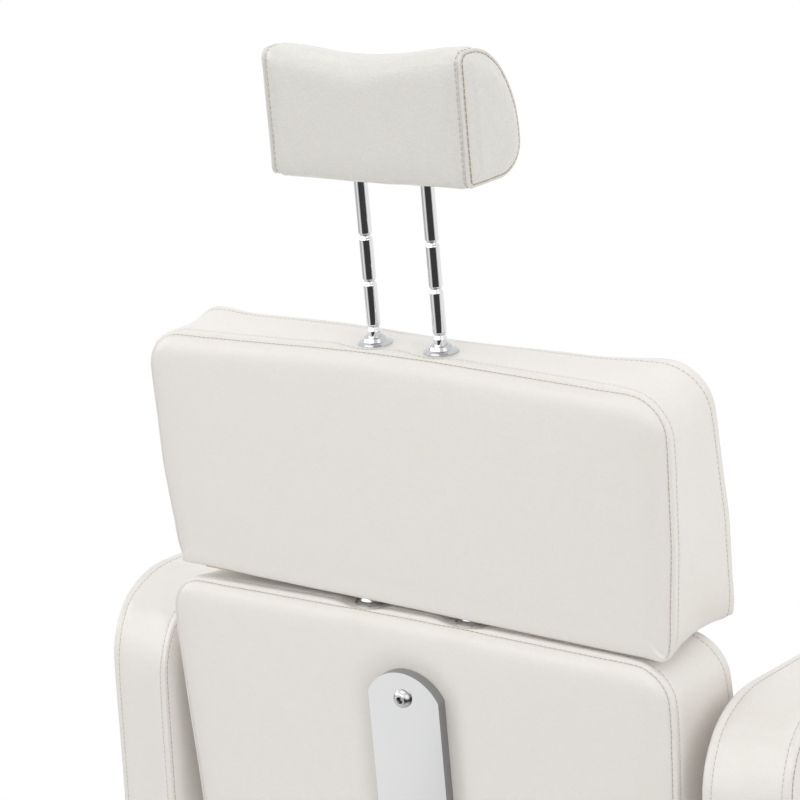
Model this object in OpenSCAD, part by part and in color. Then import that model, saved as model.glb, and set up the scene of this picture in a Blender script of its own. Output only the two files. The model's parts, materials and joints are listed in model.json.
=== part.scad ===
// Threading chair: reclining salon chair with a lifting column, a two part back and a small headrest.
// The sitter faces -Y, +Z is up, and the origin lies on the floor under the lifting column.

/* [Base] */
// Diameter of the round floor base
base_d = 620; // [560:10:700]
// Height of the domed middle of the base above the floor
base_rise = 40; // [34:1:52]
// Sheet thickness of the base dish
base_sheet = 3; // [2:0.5:5]
// Thickness of the rubber ring that the base stands on
floor_ring_h = 6; // [4:1:10]
// Width of the bolting flange round the pump housing
flange_w = 32; // [28:1:44]

/* [Lifting column] */
// Outer diameter of the pump barrel
barrel_d = 80; // [76:1:88]
// Distance that the lower housing and its bright sleeve stand out from the barrel
housing_wall = 10; // [8:1:14]
// Diameter of the ram that carries the seat
ram_d = 50; // [44:1:52]
// Height that the pump can lift the seat
lift_travel = 150; // [100:5:160]
// Length of the barrel above the piston when the seat is fully raised
barrel_spare = 34; // [24:1:60]
// Length of the ram that shows when the seat is down
ram_show = 24; // [20:1:60]
// Diameter of the spigot on top of the ram
spigot_d = 36; // [30:1:40]

/* [Pedal] */
// Reach of the foot lever from the column axis
pedal_reach = 330; // [300:5:380]
// Height of the pedal pivot above the base flange
pedal_pivot_h = 42; // [40:1:50]
// Rise of the foot lever above level when it is released
pedal_angle = 12; // [8:1:15]
// Width of the foot lever
pedal_w = 30; // [24:1:36]

/* [Seat] */
// Width of the seat cushion
seat_w = 560; // [520:4:600]
// Length of the seat cushion from front to back
seat_l = 488; // [440:4:520]
// Thickness of the seat cushion at its edge
seat_t = 84; // [70:2:110]
// Rise of the crown in the middle of the seat
seat_crown = 14; // [6:1:22]
// Gap between the rear edge of the seat and the foot of the lower back
seat_back_gap = 6; // [4:0.5:12]
// Thickness of the plywood under the seat
seat_board_t = 15; // [12:1:18]
// Height of the seat rails
rail_h = 32; // [30:1:36]
// Width of the seat rails
rail_w = 30; // [26:1:36]

/* [Arms] */
// Thickness of the padded side arms
arm_t = 84; // [64:2:90]
// Height of the arm top above the floor
arm_top_z = 720; // [690:2:740]
// Height of the arm bottom above the floor
arm_bottom_z = 345; // [344:1:350]
// Distance of the rear end of the arms behind the column axis
arm_back_y = 290; // [280:1:300]
// Distance of the arms' front ends behind the front of the seat
arm_front_set = 30; // [0:2:60]
// Radius of the rounded top corners of the arms
arm_corner_r = 74; // [60:2:100]
// How far forward the outer side of an arm is set from its inner side
arm_sweep = 14; // [0:1:20]
// How far the outer side of an arm is raised above its inner side
arm_rise = 7; // [0:1:12]
// Gap between the seat cushion and each arm
arm_gap = 7; // [6:1:14]

/* [Back] */
// Lean of the back from upright when it is not reclined
lean = 8.35; // [6:0.05:12]
// Furthest that the back tips backwards from there
recline_max = 45; // [30:1:50]
// Distance of the recline pivot behind the column axis
hinge_y = 190; // [186:1:196]
// Height of the recline pivot above the seat rails
hinge_up = 30; // [28:1:36]
// Distance of the rear face of the lower back behind the pivot
lower_rear = 79; // [66:1:84]
// Gap between the lower back and each arm
back_side_gap = 17; // [10:1:40]
// Height of the lower back
lower_h = 294; // [280:2:320]
// Thickness of the lower back at its bottom
lower_t = 112; // [90:1:116]
// Thickness of the lower back at its top
lower_top_t = 91; // [76:1:100]
// Height of the lower back's bottom edge above the pivot
lower_up = 45; // [40:1:60]
// Width of the upper back at its top
upper_w = 548; // [500:2:560]
// Width of the upper back at its bottom
upper_foot_w = 526; // [480:2:540]
// Height of the upper back
upper_h = 232; // [226:1:260]
// Thickness of the upper back at its top
upper_top_t = 79; // [70:1:90]
// Thickness of the upper back at its bottom
upper_foot_t = 118; // [96:1:124]
// Gap between the lower and the upper back when the upper one is down
back_gap = 8; // [6:1:14]
// Height that the upper back can be drawn up
upper_travel = 100; // [60:5:110]
// Thickness of the leatherette cover
cover_t = 2; // [1.5:0.5:3]

/* [Back bar] */
// Width of the flat steel bar behind the lower back
bar_w = 76; // [60:2:90]
// Thickness of the flat bar
bar_t = 10; // [8:1:12]
// Distance of the bar's round end below the top of the lower back
bar_drop = 43; // [36:1:60]
// Radius of the bar's round end beyond half of its width
bar_end_extra = 5; // [0:1:20]
// Distance of the top bolt below the round end
bar_bolt_drop = 24; // [18:1:30]

/* [Rods] */
// Diameter of the chrome rods
rod_d = 12; // [10:0.5:14]
// Distance between the two headrest rods
head_rod_span = 70; // [56:1:76]
// Sideways gap between a headrest rod's guide and the clamp of the lower rod beside it
rod_side_gap = 0.45; // [0.3:0.05:10]
// Length of headrest rod that shows above the upper back
head_rod_show = 157; // [120:1:170]
// Distance between the notches in the headrest rods
notch_pitch = 41; // [30:1:50]
// Diameter of the round cover plates
plate_d = 31; // [27:1:34]
// Radial running gap between a rod and its guide
rod_fit = 0.06; // [0.04:0.01:0.1]

/* [Headrest] */
// Width of the headrest between its end seams
head_w = 206; // [180:2:240]
// Height of the headrest
head_h = 118; // [110:1:130]
// Depth of the headrest from front to back
head_d = 84; // [78:1:100]
// Dip in the middle of the headrest's top
head_dip = 10; // [4:1:16]
// Height that the headrest can be drawn up
head_up = 40; // [20:1:45]

/* [Recline lock] */
// Radius of the crank that the gas spring pushes
crank_r = 44; // [40:1:48]
// Diameter of the gas spring's cylinder
spring_d = 22; // [18:1:24]
// Diameter of the gas spring's rod
spring_rod_d = 10; // [8:1:12]
// Length of the recline handle
handle_l = 120; // [90:5:150]

/* [Footrest] */
// Reach of the foot bar before the column axis
foot_reach = 465; // [440:5:500]
// Height of the foot bar above the floor
foot_z = 152; // [130:2:180]
// Length of the foot bar
foot_bar_l = 380; // [300:10:420]

/* [Hidden] */

$fn = 48;
// Smallest seating gap, used between pieces that touch or nearly touch
seat_gap = 0.3;
// Running gap of the pins and of the ram
pin_fit = 0.05;
// How much wider a bolt hole is than its bolt
hole_play = 0.6;
// Longer than anything that is drilled right through
through = 400;

// Base and column
ring_w = 16;
backing_t = 6;
housing_d = barrel_d + 2 * housing_wall;
flange_d = housing_d + 2 * flange_w;
flange_t = 10;
flange_z = base_rise + base_sheet;
barrel_z = flange_z + flange_t;
barrel_bore = ram_d + 6;
piston_h = 20;
floor_clear = 5;
barrel_h = floor_clear + piston_h + lift_travel + barrel_spare;
barrel_top = barrel_z + barrel_h;
housing_h = 68;
sleeve_wall = 3;
cap_t = 14;
cap_top = barrel_top + cap_t;
shoulder_z = cap_top + ram_show;
washer_t = 3;
hub_z = shoulder_z + washer_t;
hub_h = 42;
hub_d = spigot_d + 48;
socket_roof = 2;
carrier_t = 8;
carrier_z = hub_z + hub_h;
carrier_w = 300;
carrier_l = 290;
rail_z = carrier_z + carrier_t;
rail_wall = 3;
rail_top = rail_z + rail_h;
strap_t = 8;
strap_w = 60;
board_z = rail_top + strap_t;
cushion_z = board_z + seat_board_t;

// Bolts
bolt_d = 10;
bolt_head_d = 17.5;
bolt_head_h = 5.5;
bolt_socket = 6.5;
small_bolt_d = 8;
small_head_d = 14;
small_head_h = 4.4;
small_socket = 5;
hex_width = 1.9;
base_bolt_r = flange_d / 2 - 14;
pedal_pin_d = 12;
pedal_pivot_x = housing_d / 2 + 26;
pedal_pivot_z = barrel_z + pedal_pivot_h;
pedal_hub_d = 26;
cheek_t = 8;
lever_t = 9;

// Seat frame
lower_fore = lower_t - lower_rear;
seat_back_y = hinge_y - lower_fore * cos(lean) + lower_up * sin(lean) - seat_back_gap;
seat_front_y = seat_back_y - seat_l;
cushion_mid_y = seat_back_y - seat_l / 2;
cheek_plate_t = 6;
hinge_tube_l = bar_w;
bush_flange = 1;
rail_x = hinge_tube_l / 2 + bush_flange + cheek_plate_t + rail_w / 2;
rail_back_y = hinge_y - 40;
board_front_r = 30;
board_rear_r = 20;
arm_front_y = -seat_front_y - arm_front_set;
arm_x = seat_w / 2 + arm_gap;
core_t = 24;
core_x = arm_x + (arm_t - core_t) / 2;
core_h = 290;
core_foot = 8;
core_front = 60 - arm_front_y;
core_back = arm_back_y - 100;
tab_h = 48;
tab_t = 8;
bolt_bite = 16;
strap_front_y = seat_front_y + 140;
strap_rear_y = seat_back_y - 78;
tab_bolt_y = 18;
tab_bolt_z = rail_top - 20;
arm_rake = 5;
screw_x = 200;
screw_d = 6;

// Back, in its own leaning frame: the origin is the recline pivot, +Y points to the rear, +Z up the back
hinge_z = rail_top + hinge_up;
hinge_tube_r = 17;
hinge_pin_d = 16;
bush_wall = 3;
guide_wall = 2;
guide_r = rod_d / 2 + rod_fit + guide_wall;
lower_top = lower_up + lower_h;
upper_foot = lower_top + back_gap;
upper_top = upper_foot + upper_h;
lower_w = 2 * (arm_x - back_side_gap);
lower_board_t = 19;
upper_board_t = 12;
back_crown = 12;
back_draw = 5;
arm_crown = 5;
low_rod_y = lower_rear - cover_t - lower_board_t - seat_gap - guide_r;
upper_rear = low_rod_y + rod_d / 2 + seat_gap + upper_board_t + cover_t;
rods_in_back = 34;
head_rod_y = upper_rear - rods_in_back;
plate_t = 3;
plate_lift = 1.8;
bar_y = lower_rear + bar_t / 2;
bar_top = lower_top - bar_drop;
bar_end_r = bar_w / 2 + bar_end_extra;
bar_arm_z = -8;
bar_bend_r = 45;
second_bolt_gap = 150;
low_rod_end = 50;
clamp_w = rod_d + 10;
clamp_h = 44;
low_rod_span = head_rod_span + clamp_w + 2 * (guide_r + rod_side_gap);
clamp_z = upper_foot + 4;
low_rod_top = clamp_z + clamp_h + 10;
low_rod_foot = lower_top - upper_travel - low_rod_end;
low_guide_l = upper_travel + low_rod_end + 30;
head_guide_l = upper_h - 12;
head_rod_foot = upper_top - head_up - 34;
head_base = upper_top + head_rod_show;
head_core_up = 16;
head_core_h = 60;

// Gas spring, level under the seat when the back is up
spring_z = hinge_z - crank_r * (1 + cos(recline_max / 2)) / 2;
crank_y = hinge_y + crank_r * sin(recline_max / 2);
crank_slack = 2.2;
crank_pin_d = 8;
spring_stroke = 2 * crank_r * sin(recline_max / 2);
fork_l = 22;
spring_end_y = crank_y - fork_l - 14 - spring_stroke;
spring_anchor_y = -64;
ear_d = 24;
fork_gap = 11;
crank_t = 9;

// Recline handle
lever_d = 12;
lever_y = 40;
lever_z = carrier_z - 14;
block_x = rail_x + rail_w / 2 + 25;
block_w = 44;
lever_end_x = arm_x + arm_t + 16;

// Footrest
post_w = 60;
post_t = 24;
post_z = rail_z + 4 + post_t / 2;
post_back_y = spring_anchor_y - ear_d / 2 - 24;
post_bolt_pitch = 80;
post_bolt_edge = 30;
post_bolt_y = [post_back_y - post_bolt_edge - post_bolt_pitch, post_back_y - post_bolt_edge];
rail_front_y = post_bolt_y[0] - 40;
foot_tube_d = 32;
grip_d = 42;
grip_l = 120;

// Colours
cream = [0.92, 0.91, 0.88];
chrome = [0.8, 0.81, 0.83];
steel = [0.6, 0.61, 0.63];
black = [0.13, 0.13, 0.14];
ply = [0.8, 0.66, 0.46];
bronze = [0.72, 0.54, 0.3];

// Unit vector along a 2D or 3D direction
function unit(v) = v / norm(v);

// Points of an arc that rounds the corner b between a and c
function corner(a, b, c, r, steps) =
    let (
        u = unit(a - b),
        v = unit(c - b),
        half = acos(u * v) / 2,
        centre = b + unit(u + v) * r / sin(half),
        from = b + u * r / tan(half) - centre,
        to = b + v * r / tan(half) - centre,
        start = atan2(from.y, from.x),
        turn = (atan2(to.y, to.x) - start + 540) % 360 - 180
    )
    [for (i = [0 : steps]) centre + r * [cos(start + turn * i / steps), sin(start + turn * i / steps)]];

// Outline with rounded corners; each corner is [x, y, radius], listed anticlockwise
function rounded(corners, steps) =
    let (n = len(corners))
    [for (i = [0 : n - 1])
        let (
            a = corners[(i + n - 1) % n],
            b = corners[i],
            c = corners[(i + 1) % n]
        )
        each corner([a.x, a.y], [b.x, b.y], [c.x, c.y], b.z, steps)];

// The same outline with extra points spread along every straight longer than the given step
function spread(points, step) =
    let (n = len(points))
    [for (i = [0 : n - 1])
        let (
            a = points[i],
            b = points[(i + 1) % n],
            cuts = max(1, round(norm(b - a) / step))
        )
        for (k = [0 : cuts - 1]) a + (b - a) * k / cuts];

// Closed skin over rings that all have the same number of points, with a point at each end
module skin(rings, first, last) {
    n = len(rings[0]);
    m = len(rings);
    walls = [for (k = [0 : m - 2], i = [0 : n - 1])
        let (
            a = k * n + i,
            b = k * n + (i + 1) % n
        )
        each [[a, b + n, b], [a, a + n, b + n]]];
    bottom = [for (i = [0 : n - 1]) [m * n, i, (i + 1) % n]];
    top = [for (i = [0 : n - 1]) [m * n + 1, (m - 1) * n + (i + 1) % n, (m - 1) * n + i]];
    polyhedron(points = concat([for (r = rings) each r], [first, last]),
        faces = concat(walls, bottom, top), convexity = 8);
}

// Padded slab: its flat back lies on z = 0, its front is crowned, and its sides are drawn in between two
// seams. The thickness runs from foot_t at the lowest y of the outline to top_t at the highest, and the front
// is shifted in the plane of the outline by the last pair.
module padded_slab(outline, foot_t, top_t, crown, back_crown, draw, shift = [0, 0]) {
    xs = [for (p = outline) p.x];
    ys = [for (p = outline) p.y];
    mid = [(min(xs) + max(xs)) / 2, (min(ys) + max(ys)) / 2];
    half = [(max(xs) - min(xs)) / 2, (max(ys) - min(ys)) / 2];
    slope = (top_t - foot_t) / (2 * half.y);
    mid_t = (top_t + foot_t) / 2;
    // Each ring is [share of the outline, inset, share of the thickness, offset outwards]
    specs = [
        [0.5, 0, 0, -back_crown * 0.8],
        [0.9, 0, 0, -back_crown * 0.3],
        [1, 4, 0, 0],
        [1, 0.6, 0, 3],
        [1, draw * 0.7, 0.25, 0],
        [1, draw, 0.5, 0],
        [1, draw * 0.6, 0.78, 0],
        [1, 0, 1, -8],
        [1, 4, 1, -2],
        [0.93, 0, 1, crown * 0.25],
        [0.75, 0, 1, crown * 0.62],
        [0.45, 0, 1, crown * 0.92]
    ];
    rings = [for (s = specs) [for (p = outline)
        let (
            q = p - mid,
            inset = [q.x * (1 - s[1] / half.x), q.y * (1 - s[1] / half.y)] * s[0],
            place = mid + inset + shift * s[2]
        )
        [place.x, place.y, (mid_t + slope * q.y) * s[2] + s[3]]]];
    skin(rings, [mid.x, mid.y, -back_crown], [mid.x + shift.x, mid.y + shift.y, mid_t + crown]);
}

// Moves children from the leaning frame of the back to the chair
module on_back() {
    translate([0, hinge_y, hinge_z]) rotate([-lean, 0, 0]) children();
}

// Turns a slab that was drawn in the XY plane so that its outline stands up the back and its crown points
// to the front, with its flat back at the given distance behind the pivot
module stand_up(rear) {
    translate([0, rear, 0]) rotate([90, 0, 0]) children();
}

// Cylinder along X, centred on the given place
module along_x(d, l, at) {
    translate(at) rotate([0, 90, 0]) cylinder(d = d, h = l, center = true);
}

// Cylinder along Y, from y0 to y1
module along_y(d, x, y0, y1, z) {
    translate([x, y1, z]) rotate([90, 0, 0]) cylinder(d = d, h = y1 - y0);
}

// Button head bolt: the underside of its head lies on z = 0 and its shank points down
module button_bolt(d, head_d, head_h, l, socket_d) {
    rotate_extrude()
        polygon(concat([[0, -l], [d / 2, -l], [d / 2, 0], [head_d / 2, 0]],
            [for (a = [15 : 15 : 75]) [head_d / 2 * (0.45 + 0.55 * cos(a)), head_h * sin(a)]],
            [[socket_d / 2, head_h], [socket_d / 2, head_h * 0.35], [0, head_h * 0.35]]));
}

module small_bolt(l) {
    button_bolt(small_bolt_d, small_head_d, small_head_h, l, small_socket);
}

// Hexagon head bolt: the underside of its head lies on z = 0 and its shank points down
module hex_bolt(d, l) {
    translate([0, 0, -l]) cylinder(d = d, h = l);
    cylinder(d = d * hex_width, h = d * 0.62, $fn = 6);
}

// Both signs, for whatever comes in a left and a right copy
sides = [-1, 1];

// Base
module floor_ring() {
    color(black)
        rotate_extrude($fn = 96)
            polygon([[base_d / 2 - ring_w, 0], [base_d / 2 - 2, 0], [base_d / 2, 2],
                [base_d / 2, floor_ring_h], [base_d / 2 - ring_w, floor_ring_h]]);
}

// Height of the dish's upper face at a radius, a smooth slope from the flat middle to the rim
flat_r = flange_d / 2 + 8;
slope_r = base_d / 2 - 4;
slope_steps = 12;
rim_z = floor_ring_h + base_sheet + 3;
function dish_z(r) = rim_z + (flange_z - rim_z) * (1 + cos(180 * (r - flat_r) / (slope_r - flat_r))) / 2;

// Bolt holes of the pump flange, through everything that the bolts clamp
module flange_holes() {
    for (a = [45 : 90 : 315])
        rotate(a) translate([base_bolt_r, 0, 0]) cylinder(d = bolt_d + hole_play, h = barrel_z + 1);
}

module base_dish() {
    slope = [for (k = [0 : slope_steps]) flat_r + (slope_r - flat_r) * k / slope_steps];
    upper = [for (r = slope) [r, dish_z(r)]];
    lower = [for (k = [slope_steps : -1 : 0])
        [slope[k] - (k == slope_steps ? 1 : 0), dish_z(slope[k]) - base_sheet]];
    color(chrome)
        difference() {
            rotate_extrude($fn = 96)
                polygon(concat([[barrel_bore / 2, flange_z]], upper,
                    [[base_d / 2 - 1, rim_z - 2], [base_d / 2 - 0.5, floor_ring_h],
                        [slope_r, floor_ring_h]],
                    lower, [[barrel_bore / 2, flange_z - base_sheet]]));
            flange_holes();
        }
}

module backing_plate() {
    color(steel)
        difference() {
            translate([0, 0, base_rise - backing_t]) cylinder(d = flange_d, h = backing_t);
            cylinder(d = barrel_bore, h = base_rise + 1);
            flange_holes();
        }
}

module base_bolts() {
    color(steel)
        for (a = [45 : 90 : 315])
            rotate(a) translate([base_bolt_r, 0, barrel_z])
                hex_bolt(bolt_d, flange_t + base_sheet + backing_t + 10);
}

// Lifting column
module pump_body() {
    ear_r = 16;
    ear_y = pedal_w / 2 + seat_gap + cheek_t / 2;
    color(black)
        difference() {
            union() {
                translate([0, 0, flange_z]) cylinder(d = flange_d, h = flange_t);
                translate([0, 0, barrel_z]) cylinder(d = housing_d, h = housing_h);
                translate([0, 0, barrel_z]) cylinder(d = barrel_d, h = barrel_h);
                for (s = sides) {
                    translate([0, s * ear_y - cheek_t / 2, pedal_pivot_z - ear_r])
                        cube([pedal_pivot_x, cheek_t, 2 * ear_r]);
                    translate([pedal_pivot_x, s * ear_y, pedal_pivot_z]) rotate([90, 0, 0])
                        cylinder(r = ear_r, h = cheek_t, center = true);
                }
            }
            translate([0, 0, barrel_z]) cylinder(d = barrel_bore, h = barrel_h + 1);
            along_y(pedal_pin_d + 2 * pin_fit, pedal_pivot_x, -pedal_w, pedal_w, pedal_pivot_z);
            flange_holes();
        }
}

module pump_sleeve() {
    color(chrome)
        translate([0, 0, barrel_z + housing_h])
            difference() {
                cylinder(d = housing_d, h = barrel_h - housing_h);
                translate([0, 0, -1]) cylinder(d = housing_d - 2 * sleeve_wall, h = barrel_h);
            }
}

module gland_cap() {
    r = housing_d / 2 + 2;
    bore_r = ram_d / 2 + pin_fit;
    skirt_r = barrel_bore / 2 - seat_gap;
    skirt_z = barrel_top - 10;
    color(chrome)
        rotate_extrude($fn = 64)
            polygon([[bore_r, skirt_z], [skirt_r, skirt_z], [skirt_r, barrel_top], [r, barrel_top],
                [r, cap_top - 5], [r - 1.5, cap_top - 2], [r - 5, cap_top], [bore_r, cap_top]]);
}

// Ram with its piston in the barrel and a spigot on top that the seat turns on
module ram() {
    foot = barrel_z + floor_clear;
    piston_r = barrel_bore / 2 - pin_fit;
    spigot_top = hub_z + hub_h - socket_roof - 2;
    color(chrome)
        rotate_extrude($fn = 64)
            polygon([[0, foot], [piston_r, foot], [piston_r, foot + piston_h],
                [ram_d / 2, foot + piston_h + 3], [ram_d / 2, shoulder_z - 1], [ram_d / 2 - 1, shoulder_z],
                [spigot_d / 2, shoulder_z], [spigot_d / 2, spigot_top - 2],
                [spigot_d / 2 - 2, spigot_top], [0, spigot_top]]);
}

module thrust_washer() {
    color(bronze)
        translate([0, 0, shoulder_z])
            difference() {
                cylinder(d = ram_d - 2, h = washer_t);
                translate([0, 0, -1]) cylinder(d = spigot_d + 2 * seat_gap, h = washer_t + 2);
            }
}

// Pedal, drawn level with its pivot at the origin and tipped up by pedal_angle
module on_pedal() {
    translate([pedal_pivot_x, 0, pedal_pivot_z]) rotate([0, -pedal_angle, 0]) children();
}

pedal_l = pedal_reach - pedal_pivot_x;
pedal_pad_l = 60;
pedal_pad_w = 96;
pedal_skin = 4;
// The steel tread inside the rubber pad: where it starts, its length and its width
tread_x = pedal_l - pedal_pad_l + pedal_skin;
tread_l = pedal_pad_l - 3 * pedal_skin;
tread_w = pedal_pad_w - 4 * pedal_skin;

module pedal_lever() {
    color(steel)
        on_pedal()
            difference() {
                union() {
                    rotate([90, 0, 0]) cylinder(d = pedal_hub_d, h = pedal_w, center = true);
                    translate([0, -pedal_w / 2, -lever_t / 2]) cube([tread_x + tread_l, pedal_w, lever_t]);
                    translate([tread_x, -tread_w / 2, -lever_t / 2]) cube([tread_l, tread_w, lever_t]);
                }
                rotate([90, 0, 0]) cylinder(d = pedal_pin_d + 2 * pin_fit, h = pedal_w + 2, center = true);
            }
}

module pedal_pin() {
    l = pedal_w + 2 * (seat_gap + cheek_t);
    color(steel)
        translate([pedal_pivot_x, 0, pedal_pivot_z]) rotate([90, 0, 0]) {
            cylinder(d = pedal_pin_d, h = l + 4, center = true);
            for (s = sides)
                translate([0, 0, s * (l / 2 + 1 + seat_gap)])
                    cylinder(d = pedal_pin_d + 6, h = 2, center = true);
        }
}

module pedal_pad() {
    ribs = 5;
    rib_w = 4;
    start = pedal_l - pedal_pad_l;
    foot = -lever_t / 2 - seat_gap;
    slot_h = lever_t + 2 * seat_gap;
    color(black)
        on_pedal() {
            difference() {
                translate([start, -pedal_pad_w / 2, -lever_t / 2 - pedal_skin])
                    cube([pedal_pad_l, pedal_pad_w, lever_t + 2 * pedal_skin]);
                translate([start - 1, -pedal_w / 2 - seat_gap, foot])
                    cube([pedal_skin + 2, pedal_w + 2 * seat_gap, slot_h]);
                translate([tread_x - seat_gap, -tread_w / 2 - seat_gap, foot])
                    cube([tread_l + 2 * seat_gap, tread_w + 2 * seat_gap, slot_h]);
            }
            for (k = [1 : ribs])
                translate([start + k * pedal_pad_l / (ribs + 1) - rib_w / 2, -pedal_pad_w / 2 + rib_w,
                        lever_t / 2 + pedal_skin - 0.5])
                    cube([rib_w, pedal_pad_w - 2 * rib_w, 2.5]);
        }
}

// Seat frame
carrier_bolt_y = carrier_l / 2 - 24;

// Top plate with a hub that turns on the ram's spigot and four gussets between hub and plate
module swivel_carrier() {
    gusset_t = 8;
    gusset_r = carrier_l / 2 - 12;
    plate = rounded([[-carrier_w / 2, -carrier_l / 2, 20], [carrier_w / 2, -carrier_l / 2, 20],
        [carrier_w / 2, carrier_l / 2, 20], [-carrier_w / 2, carrier_l / 2, 20]], 6);
    color(black)
        difference() {
            union() {
                translate([0, 0, hub_z]) cylinder(d = hub_d, h = hub_h);
                translate([0, 0, carrier_z]) linear_extrude(carrier_t) polygon(plate);
                for (a = [0 : 90 : 270])
                    rotate([90, 0, a]) translate([0, 0, -gusset_t / 2]) linear_extrude(gusset_t)
                        polygon([[hub_d / 2 - 5, hub_z + 4], [hub_d / 2 + 6, hub_z + 4],
                            [gusset_r, carrier_z - 6], [gusset_r, carrier_z + 1],
                            [hub_d / 2 - 5, carrier_z + 1]]);
            }
            translate([0, 0, hub_z - 1]) cylinder(d = spigot_d + 2 * pin_fit, h = hub_h + 1 - socket_roof);
            for (sx = sides, sy = sides)
                translate([sx * rail_x, sy * carrier_bolt_y, carrier_z - 1])
                    cylinder(d = bolt_d + hole_play, h = carrier_t + 2);
        }
}

module carrier_bolts() {
    color(steel)
        for (sx = sides, sy = sides)
            translate([sx * rail_x, sy * carrier_bolt_y, carrier_z]) rotate([180, 0, 0])
                hex_bolt(bolt_d, carrier_t + rail_wall + 8);
}

cheek_bolt_pitch = 28;
cheek_bolt_edge = 18;
cheek_bolt_y = [rail_back_y - cheek_bolt_edge - cheek_bolt_pitch, rail_back_y - cheek_bolt_edge];
cheek_bolt_z = rail_z + rail_h / 2;

// One rail, a square tube drilled for the carrier bolts, the cheek bolts and the footrest bolts
module rail(s) {
    color(black)
        difference() {
            translate([s * rail_x - rail_w / 2, rail_front_y, rail_z])
                cube([rail_w, rail_back_y - rail_front_y, rail_h]);
            translate([s * rail_x - rail_w / 2 + rail_wall, rail_front_y - 1, rail_z + rail_wall])
                cube([rail_w - 2 * rail_wall, rail_back_y - rail_front_y + 2, rail_h - 2 * rail_wall]);
            for (sy = sides)
                translate([s * rail_x, sy * carrier_bolt_y, rail_z - 1])
                    cylinder(d = bolt_d + hole_play, h = rail_wall + 2);
            for (y = cheek_bolt_y)
                along_x(small_bolt_d + hole_play, rail_w + 2, [s * rail_x, y, cheek_bolt_z]);
            for (y = post_bolt_y)
                along_x(bolt_d + hole_play, rail_w + 2, [s * rail_x, y, post_z]);
        }
}

module rail_left() {
    rail(1);
}

module rail_right() {
    rail(-1);
}

// Flat strap across both rails, with a tab turned down at each end that the arm bolts to
module strap(y) {
    end_x = arm_x - seat_gap;
    tab_x = end_x - tab_t / 2;
    color(black)
        difference() {
            union() {
                translate([-end_x, y - strap_w / 2, rail_top]) cube([2 * end_x, strap_w, strap_t]);
                for (s = sides)
                    translate([s * tab_x - tab_t / 2, y - strap_w / 2, board_z - tab_h])
                        cube([tab_t, strap_w, tab_h]);
            }
            for (s = sides, k = sides)
                along_x(small_bolt_d + hole_play, tab_t + 2,
                    [s * tab_x, y + k * tab_bolt_y, tab_bolt_z]);
            for (s = sides)
                translate([s * screw_x, y, rail_top - 1])
                    cylinder(d = screw_d + hole_play, h = strap_t + 2);
        }
}

module strap_front() {
    strap(strap_front_y);
}

module strap_rear() {
    strap(strap_rear_y);
}

board_inset = 14;

module seat_board() {
    half_w = seat_w / 2 - board_inset;
    front = seat_front_y + board_inset;
    back = seat_back_y - board_inset;
    plan = rounded([[-half_w, front, board_front_r], [half_w, front, board_front_r],
        [half_w, back, board_rear_r], [-half_w, back, board_rear_r]], 5);
    color(ply)
        difference() {
            translate([0, 0, board_z]) linear_extrude(seat_board_t) polygon(plan);
            for (s = sides, y = [strap_front_y, strap_rear_y])
                translate([s * screw_x, y, board_z - 1])
                    cylinder(d = screw_d + hole_play, h = seat_board_t);
        }
}

module board_screws() {
    color(steel)
        for (s = sides, y = [strap_front_y, strap_rear_y])
            translate([s * screw_x, y, rail_top]) rotate([180, 0, 0])
                button_bolt(screw_d, 2 * screw_d, 0.6 * screw_d, strap_t + 0.8 * seat_board_t,
                    0.65 * screw_d);
}

module seat_cushion() {
    plan = rounded([[-seat_w / 2, -seat_l / 2, 46], [seat_w / 2, -seat_l / 2, 46],
        [seat_w / 2, seat_l / 2, 28], [-seat_w / 2, seat_l / 2, 28]], 5);
    color(cream)
        translate([0, cushion_mid_y, cushion_z])
            padded_slab(spread(plan, 80), seat_t, seat_t - 6, seat_crown, 0, back_draw);
}

// Arms. The outline is drawn in the plane of the arm: x runs to the rear, y up
arm_h = arm_top_z - arm_bottom_z;
arm_foot_r = 26;
arm_brow_r = 800;
arm_outline = rounded([
    [-arm_front_y + 8, arm_bottom_z, arm_foot_r],
    [arm_back_y - arm_h * tan(arm_rake) + 14, arm_bottom_z, arm_foot_r],
    [arm_back_y + 12, arm_top_z - 12, arm_corner_r],
    [0, arm_top_z + 4, arm_brow_r],
    [-arm_front_y, arm_top_z - 16, arm_corner_r]], 6);

// Drills or fills the places of the bolts that hold one arm to the strap tabs
module arm_bolt_holes(s, l) {
    for (y = [strap_front_y, strap_rear_y], k = sides)
        along_x(small_bolt_d + hole_play, l, [s * core_x, y + k * tab_bolt_y, tab_bolt_z]);
}

// Plywood core of one arm, grown by a gap for the pocket that it sits in, which is open below
module arm_core_box(s, gap, open_foot) {
    foot = arm_bottom_z + core_foot - gap - (open_foot ? core_foot + 1 : 0);
    translate([s > 0 ? core_x - gap : -core_x - core_t - gap, core_front - gap, foot])
        cube([core_t + 2 * gap, core_back - core_front + 2 * gap,
            arm_bottom_z + core_foot + core_h + gap - foot]);
}

module arm(s) {
    color(cream)
        difference() {
            translate([s * arm_x, 0, 0]) rotate([90, 0, s * 90]) mirror([s < 0 ? 1 : 0, 0, 0])
                padded_slab(spread(arm_outline, 90), arm_t, arm_t, arm_crown, 0, 3, [-arm_sweep, arm_rise]);
            arm_core_box(s, seat_gap, true);
            arm_bolt_holes(s, 2 * (core_x - arm_x) + 1);
        }
}

module arm_left() {
    arm(1);
}

module arm_right() {
    arm(-1);
}

module arm_core(s) {
    color(ply)
        difference() {
            arm_core_box(s, 0, false);
            arm_bolt_holes(s, 2 * core_t);
        }
}

module arm_core_left() {
    arm_core(1);
}

module arm_core_right() {
    arm_core(-1);
}

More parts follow.
